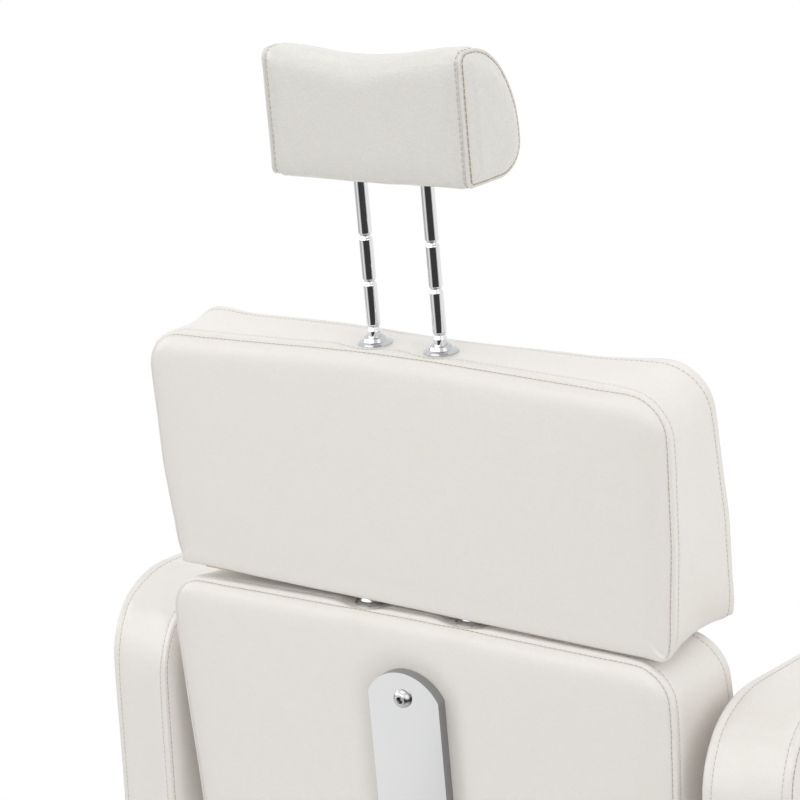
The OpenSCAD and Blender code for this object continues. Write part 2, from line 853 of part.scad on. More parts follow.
module arm_bolts() {
    color(steel)
        for (s = sides, y = [strap_front_y, strap_rear_y], k = sides)
            translate([s * (arm_x - seat_gap - tab_t), y + k * tab_bolt_y, tab_bolt_z])
                rotate([0, s > 0 ? -90 : 90, 0])
                    small_bolt(core_x - arm_x + tab_t + bolt_bite);
}

// Recline hinge: cheek plates inside the rails hold a pin, and a tube on the back bar turns on it
cheek_out = rail_x - rail_w / 2;
cheek_eye_r = hinge_tube_r + 2;
nut_t = 11;
nut_w = hinge_pin_d * 1.56;

module hinge_cheeks() {
    front = cheek_bolt_y[0] - cheek_bolt_pitch / 2;
    plate = [[front, rail_z + 1], [rail_back_y + 8, rail_z + 1],
        [hinge_y + cheek_eye_r - 2, hinge_z - 8], [hinge_y - 4, hinge_z + cheek_eye_r - 2.5],
        [rail_back_y - 8, rail_top - 1], [front, rail_top - 1]];
    color(black)
        for (s = sides)
            difference() {
                union() {
                    translate([s * (cheek_out - cheek_plate_t / 2) - cheek_plate_t / 2, 0, 0])
                        rotate([90, 0, 90]) linear_extrude(cheek_plate_t) polygon(plate);
                    along_x(2 * cheek_eye_r, cheek_plate_t,
                        [s * (cheek_out - cheek_plate_t / 2), hinge_y, hinge_z]);
                }
                along_x(hinge_pin_d + 2 * pin_fit, through, [0, hinge_y, hinge_z]);
                for (y = cheek_bolt_y)
                    along_x(small_bolt_d + hole_play, through, [0, y, cheek_bolt_z]);
            }
}

module cheek_bolts() {
    inner = cheek_out - cheek_plate_t;
    color(steel)
        for (s = sides, y = cheek_bolt_y)
            translate([s * inner, y, cheek_bolt_z]) rotate([0, s > 0 ? -90 : 90, 0])
                small_bolt(rail_w + cheek_plate_t + 4);
}

module hinge_pin() {
    l = 2 * cheek_out + nut_t + 3;
    color(steel)
        translate([cheek_out, hinge_y, hinge_z]) rotate([0, 90, 0])
            union() {
                translate([0, 0, -l]) cylinder(d = hinge_pin_d, h = l);
                cylinder(d = nut_w, h = nut_t - 2, $fn = 6);
            }
}

module hinge_nut() {
    color(steel)
        translate([-cheek_out, hinge_y, hinge_z]) rotate([0, -90, 0])
            difference() {
                cylinder(d = nut_w, h = nut_t, $fn = 6);
                translate([0, 0, -1]) cylinder(d = hinge_pin_d + 2 * pin_fit, h = nut_t + 2);
            }
}

bush_l = 24;

module hinge_bushes() {
    bore_r = hinge_pin_d / 2 + pin_fit;
    color(bronze)
        on_back()
            for (s = sides)
                rotate([0, s * 90, 0]) translate([0, 0, hinge_tube_l / 2 - bush_l])
                    rotate_extrude()
                        polygon([[bore_r, 0], [bore_r + bush_wall, 0], [bore_r + bush_wall, bush_l],
                            [hinge_tube_r - 2, bush_l], [hinge_tube_r - 2, bush_l + bush_flange - pin_fit],
                            [bore_r, bush_l + bush_flange - pin_fit]]);
}

// Side view of the bent bar: down the back, round the bend and forward to the hinge tube
bar_side = concat(
    [[bar_y - bar_t / 2, bar_top], [bar_y - bar_t / 2, bar_arm_z + bar_bend_r]],
    [for (a = [-10 : -10 : -80]) [bar_y - bar_bend_r, bar_arm_z + bar_bend_r]
        + (bar_bend_r - bar_t / 2) * [cos(a), sin(a)]],
    [[bar_y - bar_bend_r, bar_arm_z + bar_t / 2], [hinge_tube_r - 5, bar_arm_z + bar_t / 2],
        [hinge_tube_r - 5, bar_arm_z - bar_t / 2], [bar_y - bar_bend_r, bar_arm_z - bar_t / 2]],
    [for (a = [-80 : 10 : -10]) [bar_y - bar_bend_r, bar_arm_z + bar_bend_r]
        + (bar_bend_r + bar_t / 2) * [cos(a), sin(a)]],
    [[bar_y + bar_t / 2, bar_arm_z + bar_bend_r], [bar_y + bar_t / 2, bar_top]]);

bar_bolt_z = [bar_top - bar_bolt_drop, bar_top - bar_bolt_drop - second_bolt_gap];

// Where the crank eye lies in the leaning frame of the back
crank_turn = recline_max / 2 + lean;
crank_eye = crank_r * [sin(crank_turn), -cos(crank_turn)];
eye_r = crank_pin_d / 2 + crank_slack;
crank_w = 16;

module back_bar() {
    color(chrome)
        on_back()
            difference() {
                union() {
                    intersection() {
                        translate([-bar_w / 2, 0, 0]) rotate([90, 0, 90])
                            linear_extrude(bar_w) polygon(bar_side);
                        union() {
                            translate([-bar_w / 2, -bar_y, -bar_y])
                                cube([bar_w, 3 * bar_y, bar_top + bar_y - bar_end_r]);
                            translate([0, 2 * bar_y, bar_top - bar_end_r]) rotate([90, 0, 0])
                                cylinder(r = bar_end_r, h = 3 * bar_y, $fn = 96);
                        }
                    }
                    along_x(2 * hinge_tube_r, hinge_tube_l, [0, 0, 0]);
                    along_x(2 * (eye_r + 5), crank_t, [0, crank_eye.x, crank_eye.y]);
                    rotate([crank_turn, 0, 0]) translate([-crank_t / 2, -crank_w / 2, -crank_r])
                        cube([crank_t, crank_w, crank_r]);
                }
                along_x(hinge_pin_d + 4 * pin_fit + 2 * bush_wall, hinge_tube_l + 2, [0, 0, 0]);
                along_x(2 * eye_r, crank_t + 2, [0, crank_eye.x, crank_eye.y]);
                for (z = bar_bolt_z)
                    along_y(bolt_d + hole_play, 0, bar_y - bar_t, bar_y + bar_t, z);
            }
}

module back_bar_bolts() {
    color(chrome)
        on_back()
            for (z = bar_bolt_z)
                translate([0, lower_rear + bar_t, z]) rotate([-90, 0, 0])
                    button_bolt(bolt_d, bolt_head_d, bolt_head_h, bar_t + cover_t + lower_board_t - 1,
                        bolt_socket);
}

// Lower back
lower_foot_w = lower_w - 20;
lower_foot_r = 26;
lower_corner_r = 32;
lower_outline = rounded([
    [-lower_foot_w / 2, lower_up, lower_foot_r], [lower_foot_w / 2, lower_up, lower_foot_r],
    [lower_w / 2, lower_top - 60, 300], [lower_w / 2, lower_top, lower_corner_r],
    [0, lower_top + 3, 2000],
    [-lower_w / 2, lower_top, lower_corner_r], [-lower_w / 2, lower_top - 60, 300]], 3);

lower_board_w = lower_w - 92;
board_foot = 6;
board_drop = 40;

// Plywood board in the rear of a back, grown by a gap for the pocket that it sits in, which is open below
module board_box(w, t, h, rear, foot, gap, open_foot) {
    low = foot + board_foot - gap - (open_foot ? board_foot + 1 : 0);
    translate([-w / 2 - gap, rear - cover_t - t - gap, low])
        cube([w + 2 * gap, t + 2 * gap, foot + h - board_drop + gap - low]);
}

module lower_board_box(gap, open_foot) {
    board_box(lower_board_w, lower_board_t, lower_h, lower_rear, lower_up, gap, open_foot);
}

module lower_back_board() {
    color(ply)
        on_back()
            difference() {
                lower_board_box(0, false);
                for (z = bar_bolt_z)
                    along_y(bolt_d + hole_play, 0, 0, lower_rear + 1, z);
            }
}

module lower_back_cushion() {
    color(cream)
        on_back()
            difference() {
                stand_up(lower_rear)
                    padded_slab(spread(lower_outline, 80), lower_t, lower_top_t, back_crown, 0,
                        back_draw);
                lower_board_box(seat_gap, true);
                for (s = sides)
                    translate([s * low_rod_span / 2, low_rod_y, lower_top - low_guide_l - seat_gap])
                        cylinder(r = guide_r + seat_gap, h = low_guide_l + 20);
                for (z = bar_bolt_z)
                    along_y(bolt_d + hole_play, 0, lower_rear - cover_t - 1, lower_rear + 5, z);
            }
}

// Guide tube in a cushion, its top flush with the seat of its cover plate
module guide(l) {
    translate([0, 0, -l])
        difference() {
            cylinder(r = guide_r, h = l);
            translate([0, 0, -1]) cylinder(r = rod_d / 2 + rod_fit, h = l + 2);
        }
}

// Round chrome cover plate with a raised collar where a rod comes out of a cushion
module rod_plate() {
    r = plate_d / 2;
    collar = rod_d / 2 + rod_fit + 3.2;
    rotate_extrude($fn = 64)
        polygon([[rod_d / 2 + rod_fit, 0], [r, 0], [r, 1], [r - 1.5, 2.2], [collar + 1.5, plate_t],
            [collar, plate_t + 3], [collar - 1.2, plate_t + 4], [rod_d / 2 + rod_fit, plate_t + 4]]);
}

module lower_guides() {
    color(steel)
        on_back()
            for (s = sides)
                translate([s * low_rod_span / 2, low_rod_y, lower_top + plate_lift]) guide(low_guide_l);
}

module lower_rod_plates() {
    color(chrome)
        on_back()
            for (s = sides)
                translate([s * low_rod_span / 2, low_rod_y, lower_top + plate_lift]) rod_plate();
}

// Upper back
upper_foot_r = 16;
upper_corner_r = 34;
upper_taper_z = upper_foot + upper_h * 0.42;
upper_outline = rounded([
    [-upper_foot_w / 2, upper_foot, upper_foot_r], [upper_foot_w / 2, upper_foot, upper_foot_r],
    [upper_w / 2 - 2, upper_taper_z, 240], [upper_w / 2, upper_top - 4, upper_corner_r],
    [0, upper_top + 5, 2400],
    [-upper_w / 2, upper_top - 4, upper_corner_r], [-upper_w / 2 + 2, upper_taper_z, 240]], 3);

upper_board_w = upper_foot_w - 66;

module upper_board_box(gap, open_foot) {
    board_box(upper_board_w, upper_board_t, upper_h, upper_rear, upper_foot, gap, open_foot);
}

// Block that holds a lower rod against the upper board, with its bore round the rod
module clamp_box(s, gap) {
    front = low_rod_y - clamp_w / 2 - 1;
    back = upper_rear - cover_t - upper_board_t;
    translate([s * low_rod_span / 2 - clamp_w / 2 - gap, front - gap, clamp_z - gap])
        cube([clamp_w + 2 * gap, back - front + gap, clamp_h + 2 * gap]);
}

cleat_h = 30;
cleat_wall = 3;
cleat_w = 2 * (guide_r + cleat_wall);
cleat_z = upper_foot + 90;

// Block that holds a headrest guide tube off the upper board
module cleat_box(s, gap) {
    front = head_rod_y - guide_r - cleat_wall;
    back = upper_rear - cover_t - upper_board_t;
    translate([s * head_rod_span / 2 - cleat_w / 2 - gap, front - gap, cleat_z - gap])
        cube([cleat_w + 2 * gap, back - front + gap, cleat_h + 2 * gap]);
}

module upper_back_cushion() {
    color(cream)
        on_back()
            difference() {
                stand_up(upper_rear)
                    padded_slab(spread(upper_outline, 80), upper_foot_t, upper_top_t, back_crown, 0,
                        back_draw);
                upper_board_box(seat_gap, true);
                for (s = sides) {
                    translate([s * head_rod_span / 2, head_rod_y, upper_top - head_guide_l - seat_gap])
                        cylinder(r = guide_r + seat_gap, h = head_guide_l + 20);
                    translate([s * low_rod_span / 2, low_rod_y, upper_foot - 10])
                        cylinder(d = rod_d + 2 * seat_gap, h = low_rod_top - upper_foot + 10 + seat_gap);
                    clamp_box(s, seat_gap);
                    cleat_box(s, seat_gap);
                }
            }
}

module upper_back_board() {
    color(ply)
        on_back() upper_board_box(0, false);
}

module lower_rods() {
    color(chrome)
        on_back()
            for (s = sides)
                translate([s * low_rod_span / 2, low_rod_y, low_rod_foot])
                    cylinder(d = rod_d, h = low_rod_top - low_rod_foot);
}

module rod_clamps() {
    color(steel)
        on_back()
            for (s = sides)
                difference() {
                    clamp_box(s, 0);
                    translate([s * low_rod_span / 2, low_rod_y, clamp_z - 1])
                        cylinder(d = rod_d + 2 * pin_fit, h = clamp_h + 2);
                }
}

module upper_guides() {
    color(steel)
        on_back()
            for (s = sides)
                translate([s * head_rod_span / 2, head_rod_y, upper_top + plate_lift]) guide(head_guide_l);
}

module guide_cleats() {
    color(ply)
        on_back()
            for (s = sides)
                difference() {
                    cleat_box(s, 0);
                    translate([s * head_rod_span / 2, head_rod_y, cleat_z - 1])
                        cylinder(r = guide_r + pin_fit, h = cleat_h + 2);
                }
}

module upper_rod_plates() {
    color(chrome)
        on_back()
            for (s = sides)
                translate([s * head_rod_span / 2, head_rod_y, upper_top + plate_lift]) rod_plate();
}

// Headrest
notch_depth = 1.4;
notch_half = 3;
// Height of the lowest notch that shows above the upper back
notch_show = 17;
rod_l = head_base + head_core_up + head_core_h - head_rod_foot;
first_notch = upper_top + notch_show - head_rod_foot;

// Profile of one notched rod from its foot, with a rounded waist at every notch
function notch_profile(z) = [for (k = [-3 : 3])
    [rod_d / 2 - notch_depth * (1 + cos(60 * k)) / 2, z + notch_half * k / 3]];

notches = [for (k = [-4 : 2]) first_notch + k * notch_pitch];

module head_rods() {
    profile = concat([[0, 0], [rod_d / 2 - 1, 0], [rod_d / 2, 1]],
        [for (z = notches) if (z > 5) each notch_profile(z)],
        [[rod_d / 2, rod_l], [0, rod_l]]);
    color(chrome)
        on_back()
            for (s = sides)
                translate([s * head_rod_span / 2, head_rod_y, head_rod_foot])
                    rotate_extrude() polygon(profile);
}

rods_in_head = 37;
head_rear = head_rod_y + rods_in_head;
head_core_w = head_w - 50;
head_core_t = rod_d + 8;

module head_core_box(gap) {
    translate([-head_core_w / 2 - gap, head_rod_y - head_core_t / 2 - gap, head_base + head_core_up - gap])
        cube([head_core_w + 2 * gap, head_core_t + 2 * gap, head_core_h + 2 * gap]);
}

module headrest_core() {
    color(ply)
        on_back()
            difference() {
                head_core_box(0);
                for (s = sides)
                    translate([s * head_rod_span / 2, head_rod_y, head_base])
                        cylinder(d = rod_d + 2 * pin_fit, h = head_core_up + head_core_h + 1);
            }
}

// Outline of the headrest seen from its end: a flat rear, a round top and a full front
head_round = 12;
head_top_w = 16;
head_front_z = 27;
head_front_r = 34;
head_foot_r = 8;
head_drop = 2;
head_side = concat(
    [for (a = [0 : 30 : 90]) [-head_round, head_h - head_round] + head_round * [cos(a), sin(a)]],
    [for (a = [100 : 10 : 180]) [-head_top_w + (head_d - head_top_w) * cos(a),
        head_front_z + (head_h - head_front_z) * sin(a)]],
    [for (a = [202.5 : 22.5 : 270]) [-head_d + head_front_r + head_front_r * cos(a),
        head_front_z + (head_front_z + head_drop) * sin(a)]],
    [for (a = [270 : 30 : 360]) [-head_foot_r, head_foot_r] + head_foot_r * [cos(a), sin(a)]]);

// The end outline at a share u of the half width, lowered and hollowed towards the middle
function head_ring(u, x, share, centre) =
    let (hollow = (1 + cos(180 * u)) / 2)
    [for (p = head_side)
        let (
            up = p.y > 0 ? p.y * (1 - head_dip / head_h * hollow) : p.y,
            fore = p.x * (1 - 6 / head_d * hollow),
            q = centre + ([fore, up] - centre) * share
        )
        [q.x, q.y, x]];

module headrest_cushion() {
    half = head_w / 2;
    mid = [-head_d * 0.45, head_h * 0.45];
    // The ends swell past their seams: each step is [distance beyond the seam, share of the outline]
    swell = [[1, 0.965], [3.6, 0.85], [5.4, 0.5]];
    stations = [-1, -0.92, -0.7, -0.46, -0.22, 0, 0.22, 0.46, 0.7, 0.92, 1];
    rings = concat(
        [for (k = [2 : -1 : 0]) head_ring(1, -half - swell[k][0], swell[k][1], mid)],
        [for (u = stations) head_ring(u, half * u, 1, mid)],
        [for (w = swell) head_ring(1, half + w[0], w[1], mid)]);
    color(cream)
        on_back()
            difference() {
                translate([0, head_rear, head_base]) rotate([90, 0, 90])
                    skin(rings, [mid.x, mid.y, -half - 6], [mid.x, mid.y, half + 6]);
                head_core_box(seat_gap);
                for (s = sides)
                    translate([s * head_rod_span / 2, head_rod_y, head_base - 20])
                        cylinder(d = rod_d + 2 * seat_gap, h = 20 + head_core_up);
            }
}

// Gas spring: its cylinder hangs on a pin between two ears, its rod ends in a fork round the crank eye
eye_w = spring_rod_d + 5;
ear_t = 4;
ear_x = (eye_w + ear_t) / 2 + 0.5;
fork_side = 4;
fork_w = fork_gap + 2 * fork_side;
fork_h = 16;
neck_l = 22;
gas_room = 18;

// Cross pin with a washer head at each end, long enough for what lies between the heads
module headed_pin(between, at) {
    head_t = 1.6;
    along_x(crank_pin_d, between + head_t, at);
    for (s = sides)
        along_x(crank_pin_d + 4, head_t, at + [s * (between / 2 + head_t / 2 + 0.4), 0, 0]);
}

module spring_anchor() {
    color(black)
        for (s = sides)
            difference() {
                union() {
                    translate([s * ear_x - ear_t / 2, spring_anchor_y - ear_d / 2, rail_z])
                        cube([ear_t, ear_d, spring_z - rail_z]);
                    along_x(ear_d, ear_t, [s * ear_x, spring_anchor_y, spring_z]);
                }
                along_x(crank_pin_d + 2 * pin_fit, through, [0, spring_anchor_y, spring_z]);
            }
}

module anchor_pin() {
    color(steel)
        headed_pin(2 * ear_x + ear_t, [0, spring_anchor_y, spring_z]);
}

module spring_cylinder() {
    start = spring_anchor_y + neck_l;
    color(black)
        difference() {
            union() {
                along_y(spring_d, 0, start, spring_end_y, spring_z);
                along_y(spring_d * 0.55, 0, spring_anchor_y, start, spring_z);
                along_x(ear_d * 0.75, eye_w, [0, spring_anchor_y, spring_z]);
            }
            along_x(crank_pin_d + 2 * pin_fit, through, [0, spring_anchor_y, spring_z]);
            along_y(spring_rod_d + 2 * pin_fit, 0, start + gas_room, spring_end_y + 1, spring_z);
        }
}

module spring_rod() {
    foot = spring_anchor_y + neck_l + gas_room + 2 + spring_stroke;
    throat = crank_y - fork_l + 8;
    color(chrome)
        difference() {
            union() {
                along_y(spring_rod_d, 0, foot, crank_y - fork_l + 2, spring_z);
                translate([-fork_w / 2, crank_y - fork_l, spring_z - fork_h / 2])
                    cube([fork_w, fork_l, fork_h]);
                along_x(fork_h, fork_w, [0, crank_y, spring_z]);
            }
            translate([-fork_gap / 2, throat, spring_z - fork_h]) cube([fork_gap, 2 * fork_l, 2 * fork_h]);
            along_x(crank_pin_d + 2 * pin_fit, through, [0, crank_y, spring_z]);
        }
}

module crank_pin() {
    color(steel)
        headed_pin(fork_w, [0, crank_y, spring_z]);
}

// Recline handle
module lever_block() {
    half = lever_d;
    color(black)
        difference() {
            translate([block_x, lever_y - half, lever_z - half])
                cube([block_w, 2 * half, carrier_z - lever_z + half]);
            along_x(lever_d + 2 * pin_fit, through, [block_x, lever_y, lever_z]);
        }
}

handle_tip_y = lever_y - handle_l;
grip_bore = 39;

// Rod across the chair that turns in its block between two collars, bent forward beside the arm
module recline_lever() {
    collar_t = 3;
    start = block_x - 20;
    color(chrome)
        union() {
            along_x(lever_d, lever_end_x - start, [(lever_end_x + start) / 2, lever_y, lever_z]);
            translate([lever_end_x, lever_y, lever_z]) sphere(d = lever_d);
            along_y(lever_d, lever_end_x, handle_tip_y + grip_bore + 1, lever_y, lever_z);
            for (s = sides)
                along_x(lever_d + 6, collar_t, [block_x + block_w / 2
                    + s * (block_w / 2 + collar_t / 2 + seat_gap), lever_y, lever_z]);
        }
}

module lever_grip() {
    l = handle_l * 0.7;
    r = lever_d / 2 + 4;
    color(black)
        translate([lever_end_x, handle_tip_y, lever_z]) rotate([-90, 0, 0])
            difference() {
                rotate_extrude()
                    polygon(concat([[0, 0]], [for (a = [15 : 15 : 90]) [r * sin(a), r * (1 - cos(a))]],
                        [[r + 1, l * 0.5], [r, l - 3], [r - 2, l], [0, l]]));
                translate([0, 0, grip_bore]) cylinder(d = lever_d + 2 * pin_fit, h = l);
            }
}

// Footrest
post_bend_r = 70;
post_drop = 62;
post_bend_y = rail_front_y - 60;

// Centre line of the post seen from the side: level between the rails, round the bend, down to the foot bar
post_arc = [for (k = [0 : 6])
    let (a = 90 + post_drop * k / 6)
    [post_bend_y, post_z - post_bend_r] + post_bend_r * [cos(a), sin(a)]];
post_line = concat([[post_back_y, post_z]], post_arc, [[-foot_reach, foot_z]]);

// Outline of a band of the given thickness along a line
function band(line, t) =
    let (
        n = len(line),
        way = [for (i = [0 : n - 1]) unit(line[min(i + 1, n - 1)] - line[max(i - 1, 0)])],
        left = [for (i = [0 : n - 1]) line[i] + t / 2 * [-way[i].y, way[i].x]],
        right = [for (i = [n - 1 : -1 : 0]) line[i] - t / 2 * [-way[i].y, way[i].x]]
    )
    concat(left, right);

module footrest_post() {
    color(black)
        difference() {
            translate([-post_w / 2, 0, 0]) rotate([90, 0, 90]) linear_extrude(post_w)
                polygon(band(post_line, post_t));
            for (y = post_bolt_y)
                along_x(bolt_d + hole_play, post_w + 2, [0, y, post_z]);
            along_x(foot_tube_d + 2 * pin_fit, post_w + 2, [0, -foot_reach, foot_z]);
        }
}

module footrest_spacers() {
    l = rail_x - rail_w / 2 - post_w / 2;
    color(steel)
        for (s = sides, y = post_bolt_y)
            difference() {
                along_x(bolt_d + 8, l, [s * (post_w / 2 + l / 2), y, post_z]);
                along_x(bolt_d + hole_play, l + 2, [s * (post_w / 2 + l / 2), y, post_z]);
            }
}

module footrest_bolts() {
    half = rail_x + rail_w / 2;
    nut_h = 8;
    color(steel)
        for (y = post_bolt_y)
            translate([half, y, post_z]) rotate([0, 90, 0]) {
                hex_bolt(bolt_d, 2 * half + nut_h + 4);
                translate([0, 0, -2 * half - nut_h]) cylinder(d = bolt_d * hex_width, h = nut_h, $fn = 6);
            }
}

module foot_bar() {
    color(chrome)
        along_x(foot_tube_d, foot_bar_l, [0, -foot_reach, foot_z]);
}

// Ribbed rubber sleeve on each end of the foot bar, closed at its outer end
module foot_grips() {
    rib_count = 9;
    lip = 4;
    inner = foot_tube_d / 2 + pin_fit;
    outer = grip_d / 2;
    profile = concat([[0, grip_l], [outer - 3, grip_l], [outer, grip_l - 3]],
        [for (k = [rib_count : -1 : 1])
            let (z = grip_l * k / (rib_count + 1))
            each [[outer, z + 3], [outer - 1.5, z + 1.5], [outer - 1.5, z - 1.5], [outer, z - 3]]],
        [[outer, 2], [outer - 2, 0], [inner, 0], [inner, grip_l - lip], [0, grip_l - lip]]);
    color(black)
        for (s = sides)
            translate([s * (foot_bar_l / 2 + lip + seat_gap - grip_l), -foot_reach, foot_z])
                rotate([0, s * 90, 0]) rotate_extrude() polygon(profile);
}

floor_ring();
base_dish();
backing_plate();
base_bolts();
pump_body();
pump_sleeve();
gland_cap();
ram();
thrust_washer();
pedal_lever();
pedal_pin();
pedal_pad();
swivel_carrier();
carrier_bolts();
rail_left();
rail_right();
strap_front();
strap_rear();
seat_board();
board_screws();
seat_cushion();
arm_core_left();
arm_core_right();
arm_left();
arm_right();
arm_bolts();
hinge_cheeks();
cheek_bolts();
hinge_pin();
hinge_nut();
hinge_bushes();
back_bar();
back_bar_bolts();
lower_back_board();
lower_back_cushion();
lower_guides();
lower_rod_plates();
lower_rods();
rod_clamps();
upper_back_board();
upper_back_cushion();
upper_guides();
guide_cleats();
upper_rod_plates();
head_rods();
headrest_core();
headrest_cushion();
spring_cylinder();
spring_rod();
spring_anchor();
crank_pin();
anchor_pin();
lever_block();
recline_lever();
lever_grip();
footrest_post();
footrest_spacers();
footrest_bolts();
foot_bar();
foot_grips();
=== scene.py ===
# %% [markdown]
# A salon threading chair, dressed in pearly off-white leatherette. The steel, the boards and the
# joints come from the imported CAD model, which is loaded first and never moved. This lesson adds
# what CAD leaves out: padded covers, seams, thread and the finish of every surface.

# %% Load the frame
import json
import math
import bmesh
import bpy
import numpy as np
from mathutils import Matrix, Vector, noise
from mathutils.bvhtree import BVHTree
from mathutils.interpolate import poly_3d_calc


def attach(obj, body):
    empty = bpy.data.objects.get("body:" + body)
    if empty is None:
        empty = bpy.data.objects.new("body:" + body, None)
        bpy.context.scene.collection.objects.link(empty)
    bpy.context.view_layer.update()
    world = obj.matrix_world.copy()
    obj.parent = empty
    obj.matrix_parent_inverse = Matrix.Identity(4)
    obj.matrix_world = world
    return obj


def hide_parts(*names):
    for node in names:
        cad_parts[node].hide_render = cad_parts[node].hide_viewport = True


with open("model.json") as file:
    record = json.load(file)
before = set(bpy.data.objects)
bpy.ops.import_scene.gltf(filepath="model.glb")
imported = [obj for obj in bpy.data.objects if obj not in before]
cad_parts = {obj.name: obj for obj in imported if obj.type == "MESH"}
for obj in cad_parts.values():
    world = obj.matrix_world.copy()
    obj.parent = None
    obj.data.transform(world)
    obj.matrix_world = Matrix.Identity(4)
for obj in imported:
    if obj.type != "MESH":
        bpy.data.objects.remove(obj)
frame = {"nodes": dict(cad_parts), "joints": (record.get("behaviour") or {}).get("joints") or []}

scene = bpy.context.scene
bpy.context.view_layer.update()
MM = 0.001

# %% [markdown]
# The camera comes first, because every later choice is judged through it. It stands behind the
# chair and a little to one side, at shoulder height, with a long lens. A long lens from further
# away keeps the lines of the backs nearly parallel, as a catalogue picture does.

# %% Camera
TURN = math.radians(35.8)
DOWN = math.radians(11.39)
LENS = 135.1
CAMERA_PLACE = Vector((-1.4846, 2.3803, 1.4513))
TOP_OF_BACK = Vector((0, 0.31, 0.98))
camera_data = bpy.data.cameras.new("studio_camera")
camera_data.sensor_width = 36
camera_data.lens = LENS
camera_data.clip_end = 60
camera = bpy.data.objects.new("studio_camera", camera_data)
scene.collection.objects.link(camera)
looking = Vector((math.sin(TURN) * math.cos(DOWN), -math.cos(TURN) * math.cos(DOWN),
                  -math.sin(DOWN)))
camera.location = CAMERA_PLACE
camera.rotation_mode = "QUATERNION"
camera.rotation_quaternion = looking.to_track_quat("-Z", "Y")
scene.camera = camera
print("camera is", round((CAMERA_PLACE - TOP_OF_BACK).length, 2), "m from the top of the back")

# %% [markdown]
# A material is a graph of nodes. Two helpers keep the graphs short: one makes a node and fills its
# sockets, and one starts a material with a Principled shader. A socket takes either a plain value
# or another node's output, so each recipe below reads from top to bottom.

# %% Helpers for materials
def add(tree, kind, _out=0, **sockets):
    """Makes a node, sets or links its inputs (spaces written as _) and returns one output."""
    made = tree.nodes.new(kind)
    for name, value in sockets.items():
        if name.startswith("set_"):
            setattr(made, name[4:], value)
    for name, value in sockets.items():
        if name.startswith("set_"):
            continue
        key = int(name[1:]) if name[0] == "i" and name[1:].isdigit() else name.replace("_", " ")
        if isinstance(value, bpy.types.NodeSocket):
            tree.links.new(value, made.inputs[key])
        else:
            made.inputs[key].default_value = value
    return made.outputs[_out]


def new_finish(name):
    """An empty material with its Principled shader and its object coordinates, in metres."""
    finish = bpy.data.materials.new(name)
    finish.use_nodes = True
    tree = finish.node_tree
    shader = tree.nodes["Principled BSDF"]
    where = tree.nodes.new("ShaderNodeTexCoord").outputs["Object"]
    return finish, tree, shader, where


def ramp(tree, factor, stops):
    """A colour ramp through (place, grey or colour) stops."""
    made = tree.nodes.new("ShaderNodeValToRGB")
    tree.links.new(factor, made.inputs["Fac"])
    bar = made.color_ramp
    while len(bar.elements) < len(stops):
        bar.elements.new(0.5)
    for element, (place, colour) in zip(bar.elements, stops):
        element.position = place
        grey = isinstance(colour, (int, float))
        element.color = (colour, colour, colour, 1) if grey else (*colour, 1)
    return made.outputs["Color"]


def blend_colour(tree, factor, first, second):
    """Mixes two colours by a factor."""
    made = tree.nodes.new("ShaderNodeMix")
    made.data_type = "RGBA"
    tree.links.new(factor, made.inputs[0])
    for key, value in ((6, first), (7, second)):
        if isinstance(value, bpy.types.NodeSocket):
            tree.links.new(value, made.inputs[key])
        else:
            made.inputs[key].default_value = (*value, 1)
    return made.outputs[2]


def maths(tree, way, a, b=0.0):
    """One arithmetic step."""
    return add(tree, "ShaderNodeMath", set_operation=way, i0=a, i1=b)


def relief(tree, height, depth, shape_under=None):
    """Turns a height into bumps of the given depth in metres."""
    sockets = {"Height": height, "Distance": depth, "Strength": 1.0}
    if shape_under is not None:
        sockets["Normal"] = shape_under
    return add(tree, "ShaderNodeBump", **sockets)

# %% [markdown]
# Leatherette is a vinyl skin on cloth. Its face is pressed with a fine pebble grain, it creases
# faintly where the sheet was rolled, and this one carries a pearly gloss. An image of leather would
# stretch over the seams, so the grain is built from cells and noise in real millimetres. The cells
# give pebbles, a stretched noise gives the creases, and a thin coat over a satin base gives the
# pearl. The grooves between the pebbles and the crease lines are painted a little darker, as
# painted shade. The headrest is cut from another roll, which is greyer and has a coarser grain.

# %% Leatherette
CREAM = (0.855, 0.830, 0.800)
HEAD_CREAM = (0.765, 0.752, 0.722)


